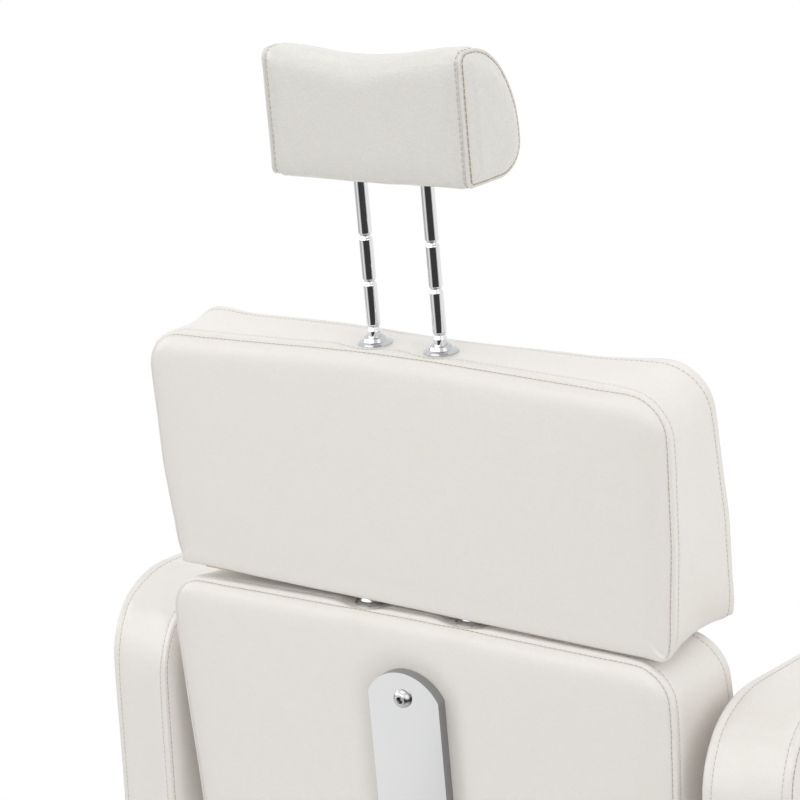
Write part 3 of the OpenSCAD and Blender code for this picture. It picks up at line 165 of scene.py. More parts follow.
def leatherette(name, cream, crease_depth, pebble, grain_depth):
    """A pebbled, creased skin. pebble and grain_depth are in mm, crease_depth is in metres."""
    finish, tree, shader, where = new_finish(name)
    wander = add(tree, "ShaderNodeTexNoise", 1, Vector=where, Scale=140.0, Detail=2.0)
    soft = add(tree, "ShaderNodeVectorMath", set_operation="SCALE", i0=wander, Scale=1.6 * MM)
    place = add(tree, "ShaderNodeVectorMath", set_operation="ADD", i0=where, i1=soft)
    cells = add(tree, "ShaderNodeTexVoronoi", set_feature="SMOOTH_F1", Vector=place,
                Scale=1 / (pebble * MM), Smoothness=0.6)
    fine = add(tree, "ShaderNodeTexNoise", Vector=where, Scale=520.0, Detail=3.0, Roughness=0.6)
    crease = add(tree, "ShaderNodeTexNoise", Vector=place, Scale=62.0, Detail=5.0, Roughness=0.62,
                 Distortion=1.2)
    folded = maths(tree, "ABSOLUTE", maths(tree, "SUBTRACT", crease, 0.5))
    lines = ramp(tree, folded, [(0.0, 0.0), (0.05, 0.75), (0.16, 1.0)])
    cloud = add(tree, "ShaderNodeTexNoise", Vector=where, Scale=7.0, Detail=3.0)
    pebbles = maths(tree, "SUBTRACT", 1.0, cells)
    coarse = maths(tree, "MULTIPLY", pebbles, 0.7)
    grain = maths(tree, "ADD", coarse, maths(tree, "MULTIPLY", fine, 0.5))
    under = relief(tree, lines, crease_depth)
    tree.links.new(relief(tree, grain, grain_depth * MM, under), shader.inputs["Normal"])
    # A few percent darker colour: painted shade for the grain's grooves and the crease lines.
    deep = tuple(c * k for c, k in zip(cream, (0.975, 0.968, 0.955)))
    pale = tuple(min(1.0, c * 1.02) for c in cream)
    tone = blend_colour(tree, ramp(tree, cloud, [(0.35, 0.0), (0.65, 1.0)]), cream, pale)
    # Painted shade: the grooves between pebbles and the crease lines take the darker colour.
    seen = maths(tree, "MULTIPLY", ramp(tree, pebbles, [(0.45, 0.0), (0.8, 1.0)]), lines)
    tree.links.new(blend_colour(tree, seen, deep, tone), shader.inputs["Base Color"])
    tree.links.new(ramp(tree, grain, [(0.3, 0.46), (0.9, 0.36)]), shader.inputs["Roughness"])
    shader.inputs["Specular IOR Level"].default_value = 0.5
    shader.inputs["Coat Weight"].default_value = 0.5
    shader.inputs["Coat Roughness"].default_value = 0.24
    shader.inputs["Sheen Weight"].default_value = 0.08
    shader.inputs["Sheen Roughness"].default_value = 0.4
    return finish


cover = leatherette("pearl_leatherette", CREAM, 0.07 * MM, 1.5, 0.08)
head_cover = leatherette("pearl_leatherette_head", HEAD_CREAM, 0.14 * MM, 2.2, 0.22)
print("covers:", cover.name, head_cover.name)

# %% [markdown]
# The seams are sewn with a tan thread, and the row of topstitching beside them with a paler one. A
# thread is a twist of fibres, so its colour and height follow a fine diagonal wave. Each stitch is
# only a few millimetres long, and the wave keeps it from looking like wire.

# %% Thread
def spun(name, dark, light):
    """A twisted thread, between two colours."""
    finish, tree, shader, where = new_finish(name)
    twist = add(tree, "ShaderNodeTexWave", set_bands_direction="DIAGONAL", Vector=where,
                Scale=900.0, Distortion=1.5)
    tree.links.new(blend_colour(tree, twist, dark, light), shader.inputs["Base Color"])
    tree.links.new(relief(tree, twist, 0.1 * MM), shader.inputs["Normal"])
    shader.inputs["Roughness"].default_value = 0.75
    shader.inputs["Sheen Weight"].default_value = 0.2
    return finish


seam_thread = spun("tan_thread", (0.40, 0.31, 0.20), (0.55, 0.45, 0.31))
top_thread = spun("grey_thread", (0.56, 0.53, 0.49), (0.68, 0.65, 0.60))
print("threads:", seam_thread.name, top_thread.name)

# %% [markdown]
# The metal has three kinds of finish: chrome on what is seen, zinc on bolts and brackets, and black
# powder coat on the frame below. Chrome needs almost no colour of its own, only what it reflects,
# plus faint wipe marks in its roughness. The base is polished less than the rods, and the small
# cover plates are painted a darker grey, a painted reflection of dark surroundings. Powder coat has
# an orange peel skin. Zinc is dull with small bright grains.

# %% Metals
CHROME_GREYS = ((0.78, 0.79, 0.81), (0.86, 0.87, 0.88))


def chrome_finish(name, rough_low, rough_high, tone=1.0):
    """A plating with faint wipe marks. A tone below 1 makes it greyer."""
    finish, tree, shader, where = new_finish(name)
    wipe = add(tree, "ShaderNodeTexNoise", Vector=where, Scale=26.0, Detail=4.0, Distortion=0.8)
    tree.links.new(ramp(tree, wipe, [(0.35, rough_low), (0.7, rough_high)]),
                   shader.inputs["Roughness"])
    speck = add(tree, "ShaderNodeTexNoise", Vector=where, Scale=420.0, Detail=2.0)
    bright = [tuple(tone * c for c in grey) for grey in CHROME_GREYS]
    tree.links.new(blend_colour(tree, speck, *bright), shader.inputs["Base Color"])
    tree.links.new(relief(tree, wipe, 0.02 * MM), shader.inputs["Normal"])
    shader.inputs["Metallic"].default_value = 1.0
    return finish


def powder_coat(name, colour):
    """A baked paint with an orange peel skin and a little dust."""
    finish, tree, shader, where = new_finish(name)
    peel = add(tree, "ShaderNodeTexNoise", Vector=where, Scale=650.0, Detail=2.0)
    dust = add(tree, "ShaderNodeTexNoise", Vector=where, Scale=18.0, Detail=5.0, Roughness=0.6)
    light = tuple(c * 1.5 + 0.008 for c in colour)
    tree.links.new(blend_colour(tree, ramp(tree, dust, [(0.4, 0.0), (0.75, 1.0)]), colour, light),
                   shader.inputs["Base Color"])
    tree.links.new(ramp(tree, peel, [(0.3, 0.34), (0.7, 0.46)]), shader.inputs["Roughness"])
    tree.links.new(relief(tree, peel, 0.08 * MM), shader.inputs["Normal"])
    return finish


def zinc_plate(name):
    """A dull plating with bright grains and fine drawn lines."""
    finish, tree, shader, where = new_finish(name)
    grains = add(tree, "ShaderNodeTexVoronoi", 1, Vector=where, Scale=320.0)
    drawn = add(tree, "ShaderNodeVectorMath", set_operation="MULTIPLY", i0=where,
                i1=(900.0, 40.0, 900.0))
    lines = add(tree, "ShaderNodeTexNoise", Vector=drawn, Scale=1.0, Detail=3.0)
    shade = add(tree, "ShaderNodeRGBToBW", Color=grains)
    tree.links.new(blend_colour(tree, shade, (0.50, 0.51, 0.53), (0.68, 0.69, 0.70)),
                   shader.inputs["Base Color"])
    tree.links.new(ramp(tree, lines, [(0.3, 0.30), (0.7, 0.48)]), shader.inputs["Roughness"])
    tree.links.new(relief(tree, lines, 0.03 * MM), shader.inputs["Normal"])
    shader.inputs["Metallic"].default_value = 1.0
    return finish


chrome = chrome_finish("bright_chrome", 0.05, 0.10)
base_chrome = chrome_finish("base_chrome", 0.10, 0.18)
rod_chrome = chrome_finish("rod_chrome", 0.05, 0.10, 0.93)
# The cover plates' darker tone is a painted reflection of dark surroundings, not a different
# plating.
shaded_plate_chrome = chrome_finish("shaded_plate_chrome", 0.08, 0.14, 0.68)
black_coat = powder_coat("black_powder_coat", (0.022, 0.022, 0.024))
zinc = zinc_plate("zinc_plate")
print("metals:",
      [m.name for m in (chrome, base_chrome, rod_chrome, shaded_plate_chrome, black_coat, zinc)])

# %% [markdown]
# Rubber, plywood and bronze finish the set. Rubber is matte with a dusty bloom. Plywood shows long
# grain on its face. The grain is a noise stretched along the board, with thin dark pores on a
# shorter scale.

# %% Rubber, plywood and bronze
rubber, tree, shader, where = new_finish("black_rubber")
bloom = add(tree, "ShaderNodeTexNoise", Vector=where, Scale=34.0, Detail=6.0, Roughness=0.65)
pits = add(tree, "ShaderNodeTexNoise", Vector=where, Scale=900.0, Detail=2.0)
tree.links.new(blend_colour(tree, ramp(tree, bloom, [(0.4, 0.0), (0.75, 1.0)]),
                            (0.028, 0.028, 0.03), (0.052, 0.051, 0.05)),
               shader.inputs["Base Color"])
tree.links.new(ramp(tree, bloom, [(0.3, 0.62), (0.7, 0.8)]), shader.inputs["Roughness"])
tree.links.new(relief(tree, pits, 0.12 * MM), shader.inputs["Normal"])

plywood, tree, shader, where = new_finish("birch_plywood")
along = add(tree, "ShaderNodeVectorMath", set_operation="MULTIPLY", i0=where, i1=(6.0, 90.0, 90.0))
figure = add(tree, "ShaderNodeTexNoise", Vector=along, Scale=1.0, Detail=5.0, Distortion=0.6)
pores = add(tree, "ShaderNodeTexNoise", Vector=along, Scale=9.0, Detail=2.0)
wood = blend_colour(tree, ramp(tree, figure, [(0.35, 0.0), (0.65, 1.0)]), (0.50, 0.35, 0.19),
                    (0.66, 0.49, 0.30))
dark_pores = ramp(tree, pores, [(0.60, 0.0), (0.68, 0.6)])
tree.links.new(blend_colour(tree, dark_pores, wood, (0.30, 0.19, 0.10)),
               shader.inputs["Base Color"])
tree.links.new(relief(tree, figure, 0.15 * MM), shader.inputs["Normal"])
shader.inputs["Roughness"].default_value = 0.68

bronze, tree, shader, where = new_finish("bearing_bronze")
turned = add(tree, "ShaderNodeTexNoise", Vector=where, Scale=260.0, Detail=3.0)
tree.links.new(blend_colour(tree, turned, (0.46, 0.28, 0.12), (0.62, 0.42, 0.20)),
               shader.inputs["Base Color"])
tree.links.new(ramp(tree, turned, [(0.3, 0.30), (0.7, 0.44)]), shader.inputs["Roughness"])
shader.inputs["Metallic"].default_value = 1.0
print("others:", rubber.name, plywood.name, bronze.name)

# %% [markdown]
# The bolts of the bar have domed heads with a six-sided socket for the key. Inside the socket the
# colour is darkened as painted shade. The socket's faces could be painted one by one, but here the
# colour is mixed by how open each spot is, which ambient occlusion measures 3 mm around it.

# %% Socket bolts
# The first colour is painted shade for the recesses, the second is the bolt's own grey.
SOCKET_SHADE, BOLT_GREY = (0.02, 0.02, 0.02), (0.60, 0.60, 0.61)
bolt_finish, tree, shader, where = new_finish("socket_bolts")
open_air = add(tree, "ShaderNodeAmbientOcclusion", 1, Distance=3 * MM)
unshaded = ramp(tree, open_air, [(0.45, 0.0), (0.85, 1.0)])
tree.links.new(blend_colour(tree, unshaded, SOCKET_SHADE, BOLT_GREY), shader.inputs["Base Color"])
shader.inputs["Roughness"].default_value = 0.2
shader.inputs["Metallic"].default_value = 1.0
print("bolts:", bolt_finish.name)

# %% [markdown]
# The bar up the back is a bent strip of chromed flat steel. Its broad face is polished, while its
# sawn edges were only dulled before plating, so they are rougher. The edges are also painted darker
# than the face, as painted shade. One material does both: the direction that a surface faces, read
# in the object's own space, tells an edge from the face.

# %% Chromed bar
# The edge colour is painted shade, darker than the face.
BAR_FACE, BAR_EDGE_SHADE = (0.75, 0.752, 0.755), (0.38, 0.38, 0.39)
FACE_DULL, EDGE_DULL = (0.12, 0.12, 0.12), (0.34, 0.34, 0.34)
bar_finish, tree, shader, where = new_finish("chromed_flat_bar")
facing = tree.nodes["Texture Coordinate"].outputs["Normal"]
rearward = maths(tree, "ABSOLUTE", add(tree, "ShaderNodeSeparateXYZ", 1, Vector=facing))
edge = ramp(tree, rearward, [(0.5, 1.0), (0.85, 0.0)])
wipe = add(tree, "ShaderNodeTexNoise", Vector=where, Scale=22.0, Detail=4.0)
tree.links.new(blend_colour(tree, edge, BAR_FACE, BAR_EDGE_SHADE), shader.inputs["Base Color"])
dull = blend_colour(tree, edge, FACE_DULL, EDGE_DULL)
wiped = maths(tree, "ADD", maths(tree, "MULTIPLY", wipe, 0.06), dull)
tree.links.new(wiped, shader.inputs["Roughness"])
shader.inputs["Metallic"].default_value = 1.0
print("bar:", bar_finish.name)

# %% [markdown]
# Each piece of the frame arrives with a plain material that is named for what it is made of. The
# finishes take the place of these, and a few pieces have one of their own.

# %% Finishes on the frame
FINISHES = {"chrome": chrome, "rubber": rubber, "black_steel": black_coat, "zinc_steel": zinc,
            "plywood": plywood, "bronze": bronze, "leatherette": cover}
OWN_FINISH = {"base_dish": base_chrome, "back_bar": bar_finish, "back_bar_bolts": bolt_finish,
              "head_rods": rod_chrome, "upper_rod_plates": shaded_plate_chrome,
              "lower_rod_plates": shaded_plate_chrome}
for name, piece in frame["nodes"].items():
    for place in piece.material_slots:
        place.material = OWN_FINISH.get(name) or FINISHES[place.material.name.split(".")[0]]
print("finished", len(frame["nodes"]), "frame pieces")

# %% [markdown]
# A padded form is sewn from two panels and a strip between them. Its outline is a rounded shape, so
# the next helpers round the corners of a plain polygon and then spread points along it, closer
# together where it turns. Four of the corners are marked, because a panel's grid needs four.

# %% Outlines
ARC_STEPS = 16


def rounded(corners):
    """Points of an outline from (x, y, radius) corners, and the index of each corner's middle."""
    points, middles = [], []
    count = len(corners)
    for i, (x, y, r) in enumerate(corners):
        b = np.array((x, y))
        a = np.array(corners[i - 1][:2])
        c = np.array(corners[(i + 1) % count][:2])
        u, v = (a - b) / np.linalg.norm(a - b), (c - b) / np.linalg.norm(c - b)
        half = math.acos(np.clip(u @ v, -1, 1)) / 2
        way = (u + v) / np.linalg.norm(u + v)
        centre = b + way * r / math.sin(half)
        start = b + u * r / math.tan(half) - centre
        end = b + v * r / math.tan(half) - centre
        a0 = math.atan2(start[1], start[0])
        turn = (math.atan2(end[1], end[0]) - a0 + math.pi) % (2 * math.pi) - math.pi
        middles.append(len(points) + ARC_STEPS // 2)
        for k in range(ARC_STEPS + 1):
            t = a0 + turn * k / ARC_STEPS
            points.append(centre + r * np.array((math.cos(t), math.sin(t))))
    return np.array(points), middles


def spaced(line, count, pull=0.012):
    """count + 1 points along an open line, closer where it turns by pull metres for each radian."""
    step = np.linalg.norm(np.diff(line, axis=0), axis=1)
    ways = np.diff(line, axis=0) / np.maximum(step, 1e-9)[:, None]
    bend = np.zeros(len(line))
    bend[1:-1] = np.arccos(np.clip((ways[1:] * ways[:-1]).sum(1), -1, 1))
    cost = step + pull * (bend[1:] + bend[:-1]) / 2
    run = np.concatenate([[0], np.cumsum(cost)])
    wanted = np.linspace(0, run[-1], count + 1)
    return np.stack([np.interp(wanted, run, line[:, k]) for k in range(line.shape[1])], 1)


def four_sided(points, corners, across, up):
    """The outline as 2 x (across + up) points: foot, far side, top and near side."""
    sides = []
    for k, count in enumerate((across, up, across, up)):
        a, b = corners[k], corners[(k + 1) % 4]
        line = points[a:b + 1] if b > a else np.concatenate([points[a:], points[:b + 1]])
        sides.append(spaced(line, count)[:-1])
    return np.concatenate(sides)


def inwards(ring):
    """Unit directions that point into a closed anticlockwise outline."""
    ways = np.roll(ring, -1, 0) - np.roll(ring, 1, 0)
    ways /= np.linalg.norm(ways, axis=1)[:, None]
    return np.stack([-ways[:, 1], ways[:, 0]], 1)

# %% [markdown]
# The skin of a padded form is a stack of rings from one panel, over the edge and across the strip
# to the other panel. A list of (inset, depth) steps draws the edge: the panel rolls down into a
# seam at the corner, the seam allowance stands up as a flat band beside it, and a row of
# topstitching dents the strip at the band's far side. The roll is part of a circle, so its
# brightness changes evenly. The foot of a back has no seam: there the leatherette is folded tightly
# round the board. Each panel is filled by a Coons patch, which blends four edges into an even grid
# of quads. Even quads crease well in a cloth simulation, better than a fan.

# %% Skin of a padded form
def sewn_edge(width, radius):
    """Steps of a panel's roll into its seam, then the band and the topstitching, in millimetres."""
    insets = [width, 0.8 * width, 0.6 * width, 0.42 * width, 0.26 * width, 0.15 * width, 2.0]
    roll = [(i, radius - math.sqrt(radius ** 2 - (width - i) ** 2)) for i in insets]
    t = roll[-1][1]
    return roll + [(2.5, t + 0.9), (0.9, t + 1.2), (-0.3, t + 1.7), (-0.9, t + 2.6),
                   (-0.6, t + 4.2), (-0.3, t + 7.4), (0.7, t + 8.8), (0.3, t + 9.7),
                   (0.0, t + 11.2)]


BACK_EDGE = sewn_edge(24, 44)
ARM_EDGE = sewn_edge(18, 40)
ROLLED_EDGE = [(24, 0.0), (19, 0.0), (14, 0.0), (9.6, 0.0), (5.6, 0.1), (3.2, 0.3), (1.9, 0.7),
               (1.1, 1.3), (0.5, 2.1), (0.2, 3.2), (0.0, 4.8), (0.0, 7.0), (0.0, 9.5), (0.0, 12.0),
               (0.0, 14.5), (0.0, 17.0)]
SEAM_STEP, WELT_STEP = 7, 13
BEAD_EDGE = [(13, -4.2), (10.5, -3.1), (8.6, -2.2), (6.8, -1.2), (5.4, -0.2), (4.7, 0.5),
             (3.9, 0.2), (2.6, 0.1), (2.0, 1.2), (2.6, 2.4), (3.6, 3.2), (2.7, 4.8), (2.2, 6.6),
             (0.9, 10.0)]
BEAD_STITCHES = (4, 11)
PLAIN_EDGE = [(16, -0.5), (10, 0), (5.6, 0), (1.2, 1.2), (0, 5.6), (0, 12)]
PLAIN_HELD = 2
EVEN_FROM, EVEN_PASSES = 8, 4


def patch(ring, across, up):
    """The (across - 1) x (up - 1) inner points of a panel's grid, from its closed edge."""
    foot = ring[:across + 1]
    far = ring[across:across + up + 1]
    top = ring[across + up:2 * across + up + 1][::-1]
    near = np.concatenate([ring[2 * across + up:], ring[:1]])[::-1]
    u = (np.arange(1, across) / across)[:, None, None]
    v = (np.arange(1, up) / up)[None, :, None]
    flat = ((1 - u) * (1 - v) * foot[0] + u * (1 - v) * foot[-1] + u * v * top[-1]
            + (1 - u) * v * top[0])
    return ((1 - v) * foot[1:-1, None] + v * top[1:-1, None] + (1 - u) * near[None, 1:-1]
            + u * far[None, 1:-1] - flat)


def inset_ring(ring, into, inset):
    """The outline moved inwards. A wide inset is also evened, so no tight corner folds over."""
    moved = ring + into * inset[:, None]
    for _ in range(int(EVEN_PASSES * max(0, inset.max() / MM - EVEN_FROM))):
        moved = (np.roll(moved, 1, 0) + 2 * moved + np.roll(moved, -1, 0)) / 4
    return moved


def skin(form, edge, steps, across, up):
    """Points and faces of a padded form, ring by ring, and the number of points in a ring."""
    ring = four_sided(*form["outline"], across, up)
    count = len(ring)
    into = inwards(ring)
    taper = form["top"] - form["foot"]
    deep = lambda p: form["foot"] + taper * (p[:, 1] - form["low"]) / form["rise"]
    soft = np.zeros(count)
    if form.get("soft_foot") and len(edge) == len(ROLLED_EDGE):
        soft[:across + 1] = 1.0
        soft[[0, across]] = 0.5
    insets, depths = [], []
    for k, (inset, t) in enumerate(edge):
        other = ROLLED_EDGE[k] if soft.any() else (inset, t)
        insets.append(((1 - soft) * inset + soft * other[0]) * MM)
        depths.append(((1 - soft) * t + soft * other[1]) * MM)
    rows = []
    for inset, t in zip(insets, depths):
        rows.append(np.column_stack([inset_ring(ring, into, inset), t]))
    for k in range(1, steps):
        share = k / steps
        p = ring + into * (insets[-1] + form["drawn"] * math.sin(math.pi * share) * MM)[:, None]
        rows.append(np.column_stack([p, depths[-1] + (deep(p) - 2 * depths[-1]) * share]))
    for inset, t in zip(insets[::-1], depths[::-1]):
        p = inset_ring(ring, into, inset)
        rows.append(np.column_stack([p, deep(p) - t]))
    rings = np.array(rows)
    points = [rings.reshape(-1, 3)]
    faces = []
    last = len(rows) - 1
    for k in range(last):
        for i in range(count):
            a, b = k * count + i, k * count + (i + 1) % count
            faces.append((a, b, b + count, a + count))
    for which, crown, sign in ((0, form["back_crown"], -1), (last, form["crown"], 1)):
        inner = patch(rings[which], across, up)
        u = np.abs(2 * np.arange(1, across) / across - 1)[:, None]
        v = np.abs(2 * np.arange(1, up) / up - 1)[None, :]
        inner[:, :, 2] += sign * crown * MM * (1 - u ** 3) * (1 - v ** 3)
        start = sum(len(p) for p in points)
        points.append(inner.reshape(-1, 3))
        edge_start = which * count

        def at(i, j):
            if j == 0:
                return edge_start + i
            if i == across:
                return edge_start + across + j
            if j == up:
                return edge_start + 2 * across + up - i
            if i == 0:
                return edge_start + (2 * across + 2 * up - j) % count
            return start + (i - 1) * (up - 1) + j - 1

        for i in range(across):
            for j in range(up):
                quad = (at(i, j), at(i + 1, j), at(i + 1, j + 1), at(i, j + 1))
                faces.append(quad if sign > 0 else quad[::-1])
    return form["place"](np.concatenate(points)), faces, count


def new_piece(name, points, faces, *finishes):
    """A mesh object from points and faces, with its faces turned outwards."""
    mesh = bpy.data.meshes.new(name)
    mesh.from_pydata([tuple(p) for p in points], [], faces)
    shaped = bmesh.new()
    shaped.from_mesh(mesh)
    bmesh.ops.recalc_face_normals(shaped, faces=shaped.faces)
    shaped.to_mesh(mesh)
    shaped.free()
    mesh.shade_smooth()
    for finish in finishes:
        mesh.materials.append(finish)
    piece = bpy.data.objects.new(name, mesh)
    scene.collection.objects.link(piece)
    return piece

# %% [markdown]
# Foam under a tight skin swells between its seams. A cloth simulation finds that shape by itself:
# the seams are pinned, air presses from inside, and gravity is off. It runs on a plain, even copy
# of the form, and the finely edged skin then borrows its movement, so that the welts and seams stay
# crisp. The movement is capped, since a real cover is glued to firm foam and can't balloon.

# %% Swell by cloth simulation
SWELL_FRAMES = 20


def swelling(name, form, across, up, steps, cap):
    """Rest points, faces and capped movements of a plain copy, blown up with its seams held."""
    rest, faces, count = skin(form, PLAIN_EDGE, steps, across, up)
    piece = new_piece(name + "_trial", rest, faces, cover)
    held = piece.vertex_groups.new(name="held")
    rings = 2 * len(PLAIN_EDGE) + steps - 1
    for k in (PLAIN_HELD, rings - 1 - PLAIN_HELD):
        held.add(list(range(k * count, (k + 1) * count)), 1.0, "REPLACE")
    moving = piece.modifiers.new("Cloth", "CLOTH")
    cloth = moving.settings
    cloth.quality = 6
    cloth.mass = 0.2
    cloth.tension_stiffness = 30
    cloth.compression_stiffness = 12
    cloth.shear_stiffness = 12
    cloth.bending_stiffness = 0.6
    cloth.vertex_group_mass = "held"
    cloth.use_pressure = True
    cloth.uniform_pressure_force = 4.0
    cloth.effector_weights.gravity = 0
    moving.point_cache.frame_start = 1
    moving.point_cache.frame_end = SWELL_FRAMES
    for step in range(1, SWELL_FRAMES + 1):
        scene.frame_set(step)
    seen = piece.evaluated_get(bpy.context.evaluated_depsgraph_get())
    blown = np.array([v.co for v in seen.data.vertices], float)
    bpy.data.objects.remove(piece)
    scene.frame_set(1)
    moved = blown - rest
    far = np.linalg.norm(moved, axis=1)[:, None]
    limit = cap * MM
    print(name, "swells up to", round(float(far.max()) / MM, 1), "mm before the cap")
    return rest, faces, moved * limit / (far + limit)


def borrow(points, rest, faces, moved):
    """The movement of each point, read off the nearest face of the plain copy."""
    tree = BVHTree.FromPolygons([tuple(p) for p in rest], faces)
    given = np.zeros_like(points)
    for i, p in enumerate(points):
        spot, _, face, _ = tree.find_nearest(Vector(p))
        corners = faces[face]
        shares = poly_3d_calc([Vector(rest[c]) for c in corners], spot)
        given[i] = sum(share * moved[c] for share, c in zip(shares, corners))
    return given

# %% [markdown]
# Hand-pulled covers are never quite even. On the roll beside a seam the skin puckers a little, most
# at the corners, and across the panels it waves very slightly. Both come from smooth noise that
# moves each point along its normal by a fraction of a millimetre, which is enough to break up the
# highlights. The scales of the noise are counted per metre.

# %% Puckers and waves
WAVES, RIPPLES, PUCKERS = 9, 23, 85
PUCKER_FADE = [0.3, 0.6, 1.0, 1.0, 0.7, 0.3]


def puckered(piece, count, rings, wave, pucker):
    """Moves the points of a finished skin along their normals by smooth noise."""
    mesh = piece.data
    normals = np.array([v.normal for v in mesh.vertices], float)
    points = np.array([v.co for v in mesh.vertices], float)
    total = rings * count
    near = np.zeros(len(points))
    for k in range(rings):
        from_end = min(k, rings - 1 - k)
        if from_end < len(PUCKER_FADE):
            near[k * count:(k + 1) * count] = PUCKER_FADE[from_end]
    turn = np.linalg.norm(np.roll(normals[:count], -3, 0) - np.roll(normals[:count], 3, 0), axis=1)
    for i, p in enumerate(points):
        v = Vector(p)
        ripple = 0.5 * noise.noise(v * RIPPLES + Vector((3, 1, 2)))
        lift = wave * MM * (noise.noise(v * WAVES) + ripple)
        if i < total and near[i]:
            tight = 0.12 + 1.6 * min(turn[i % count], 1.0)
            lift += pucker * MM * near[i] * noise.noise(v * PUCKERS) * tight
        points[i] += normals[i] * lift
    mesh.vertices.foreach_set("co", points.astype(np.float32).ravel())
    mesh.update()

# %% [markdown]
# Stitches are modelled one by one. Each is a short bead of thread that lies along the seam and dips
# into the cover at both ends. A texture of dashes would be quicker, but it would be flat from the
# side and would stretch round the corners. The seam's stitches are a little longer and thicker than
# the topstitching. All the stitches of one cover are joined in one piece.

# %% Stitches
STITCH, PITCH, LONGER = 3.8 * MM, 5.0 * MM, 1.24
SIDES = 5
ALONG = np.array([0, 0.12, 0.5, 0.88, 1.0])
HEIGHTS = np.array([-0.9, -0.1, 0.25, -0.1, -0.9])
GIRTHS = np.array([0.45, 0.95, 1.0, 0.95, 0.45])
STITCH_FACES = SIDES * (len(ALONG) - 1) + 2


def stitches(name, rows):
    """One piece with a bead for each stitch, along closed rows of points with their normals.

    A row also says which of its parts are skipped, its height, its thickness and its thread.
    """
    points, faces, threads = [], [], []
    for line, normals, skipped, lift, thick, spool in rows:
        length = STITCH * (LONGER + (1 - LONGER) * spool)
        loop = np.concatenate([line, line[:1]])
        outs = np.concatenate([normals, normals[:1]])
        bare = np.concatenate([skipped, skipped[:1]])
        run = np.concatenate([[0], np.cumsum(np.linalg.norm(np.diff(loop, axis=0), axis=1))])
        number = int(run[-1] / PITCH)
        for n in range(number):
            centres = run[-1] * n / number + length * ALONG
            if np.interp(centres[2], run, bare) > 0.3:
                continue
            spine = np.stack([np.interp(centres, run, loop[:, k]) for k in range(3)], 1)
            out = np.stack([np.interp(centres[2:3], run, outs[:, k]) for k in range(3)], 1)[0]
            out /= np.linalg.norm(out)
            way = spine[-1] - spine[0]
            way /= np.linalg.norm(way)
            side = np.cross(way, out)
            base = len(points)
            for c, h, r in zip(spine, lift + thick * HEIGHTS, thick * GIRTHS):
                for k in range(SIDES):
                    a = 2 * math.pi * k / SIDES
                    points.append(c + out * (h + r * math.cos(a)) + side * r * math.sin(a))
            last = base + SIDES * (len(ALONG) - 1)
            for ring in range(base, last, SIDES):
                for k in range(SIDES):
                    a, b = ring + k, ring + (k + 1) % SIDES
                    faces.append((a, b, b + SIDES, a + SIDES))
            faces.append(tuple(range(base + SIDES - 1, base - 1, -1)))
            faces.append(tuple(range(last, last + SIDES)))
            threads += [spool] * STITCH_FACES
    piece = new_piece(name, points, faces, seam_thread, top_thread)
    piece.data.polygons.foreach_set("material_index", threads)
    return piece

# %% [markdown]
# One recipe now makes any cover: build the finely edged skin, let it borrow the swelling, pucker
# it, sew it, hang it on the body it rides on, and hide the plain solid it stands for.

# %% One cover
THREAD_LIFT, SEAM_THICK, THINNER = 0.2 * MM, 0.36, 0.04


def make_cover(name, body, node, form, across, up, steps, cap, edge=BACK_EDGE,
               rows=(SEAM_STEP, WELT_STEP), finish=cover, wave=0.4, pucker=0.8, trial=(40, 20, 8)):
    """A sewn cover on a body, in place of a plain solid. trial is the grid of its plain copy."""
    points, faces, count = skin(form, edge, steps, across, up)
    points += borrow(points, *swelling(name, form, *trial, cap))
    if "warp" in form:
        points = form["warp"](points)
    piece = new_piece(name, points, faces, finish)
    rings = 2 * len(edge) + steps - 1
    puckered(piece, count, rings, wave, pucker)
    at = np.array([v.co for v in piece.data.vertices], float)
    out = np.array([v.normal for v in piece.data.vertices], float)
    bare = np.zeros(count)
    if form.get("soft_foot"):
        bare[1:across] = 1.0
    lines = []
    for spool, k in enumerate(rows):
        for ring in (k, rings - 1 - k):
            part = slice(ring * count, (ring + 1) * count)
            thick = (SEAM_THICK - THINNER * spool) * MM
            lines.append((at[part], out[part], bare, THREAD_LIFT, thick, spool))
    sewn = stitches(name + "_stitches", lines)
    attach(piece, body)
    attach(sewn, body)
    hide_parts(node)
    number = len(sewn.data.polygons) // STITCH_FACES
    print(name, "has", len(piece.data.polygons), "faces and", number, "stitches")
    return piece

# %% [markdown]
# Both backs and the headrest lean together, so they share a leaning set of axes: across, out to the
# rear and up the back. Their origin is the recline hinge, and both its place and its lean can be
# read from the frame's joints.

# %% The leaning axes of the back
PLATE_R, PLATE_FADE = 0.0165, 0.018
joints = {j["name"]: j for j in frame["joints"]}
HINGE = np.array(joints["recline"]["pos_m"], float)
UP_BACK = np.array(joints["back_slide"]["axis"], float)
REARWARD = np.array((0.0, UP_BACK[2], -UP_BACK[1]))
ACROSS = np.array((1.0, 0.0, 0.0))


def on_back(x, y, z):
    """Places in the chair of points given across, rearwards and up the back from the hinge."""
    return HINGE + np.outer(x, ACROSS) + np.outer(y, REARWARD) + np.outer(z, UP_BACK)


def leaning(points):
    """The same three measures, read back from places in the chair."""
    local = points - HINGE
    return local @ ACROSS, local @ REARWARD, local @ UP_BACK


def slab_on_back(rear):
    """Stands a slab up on the back, with its first panel in the rear plane."""
    return lambda p: on_back(p[:, 0], rear - p[:, 2], p[:, 1])


def eased(amount):
    """0 below 0, 1 above 1 and a smooth rise between."""
    amount = np.clip(amount, 0, 1)
    return amount * amount * (3 - 2 * amount)


def under_plates(points, spots, seat):
    """Brings the top of a back level with the undersides of its round cover plates."""
    x, y, z = leaning(points)
    for across, rearward in spots:
        free = eased((np.hypot(x - across, y - rearward) - PLATE_R) / PLATE_FADE)
        z = np.where(z > seat - 0.02, seat + (z - seat) * free, z)
    return on_back(x, y, z)


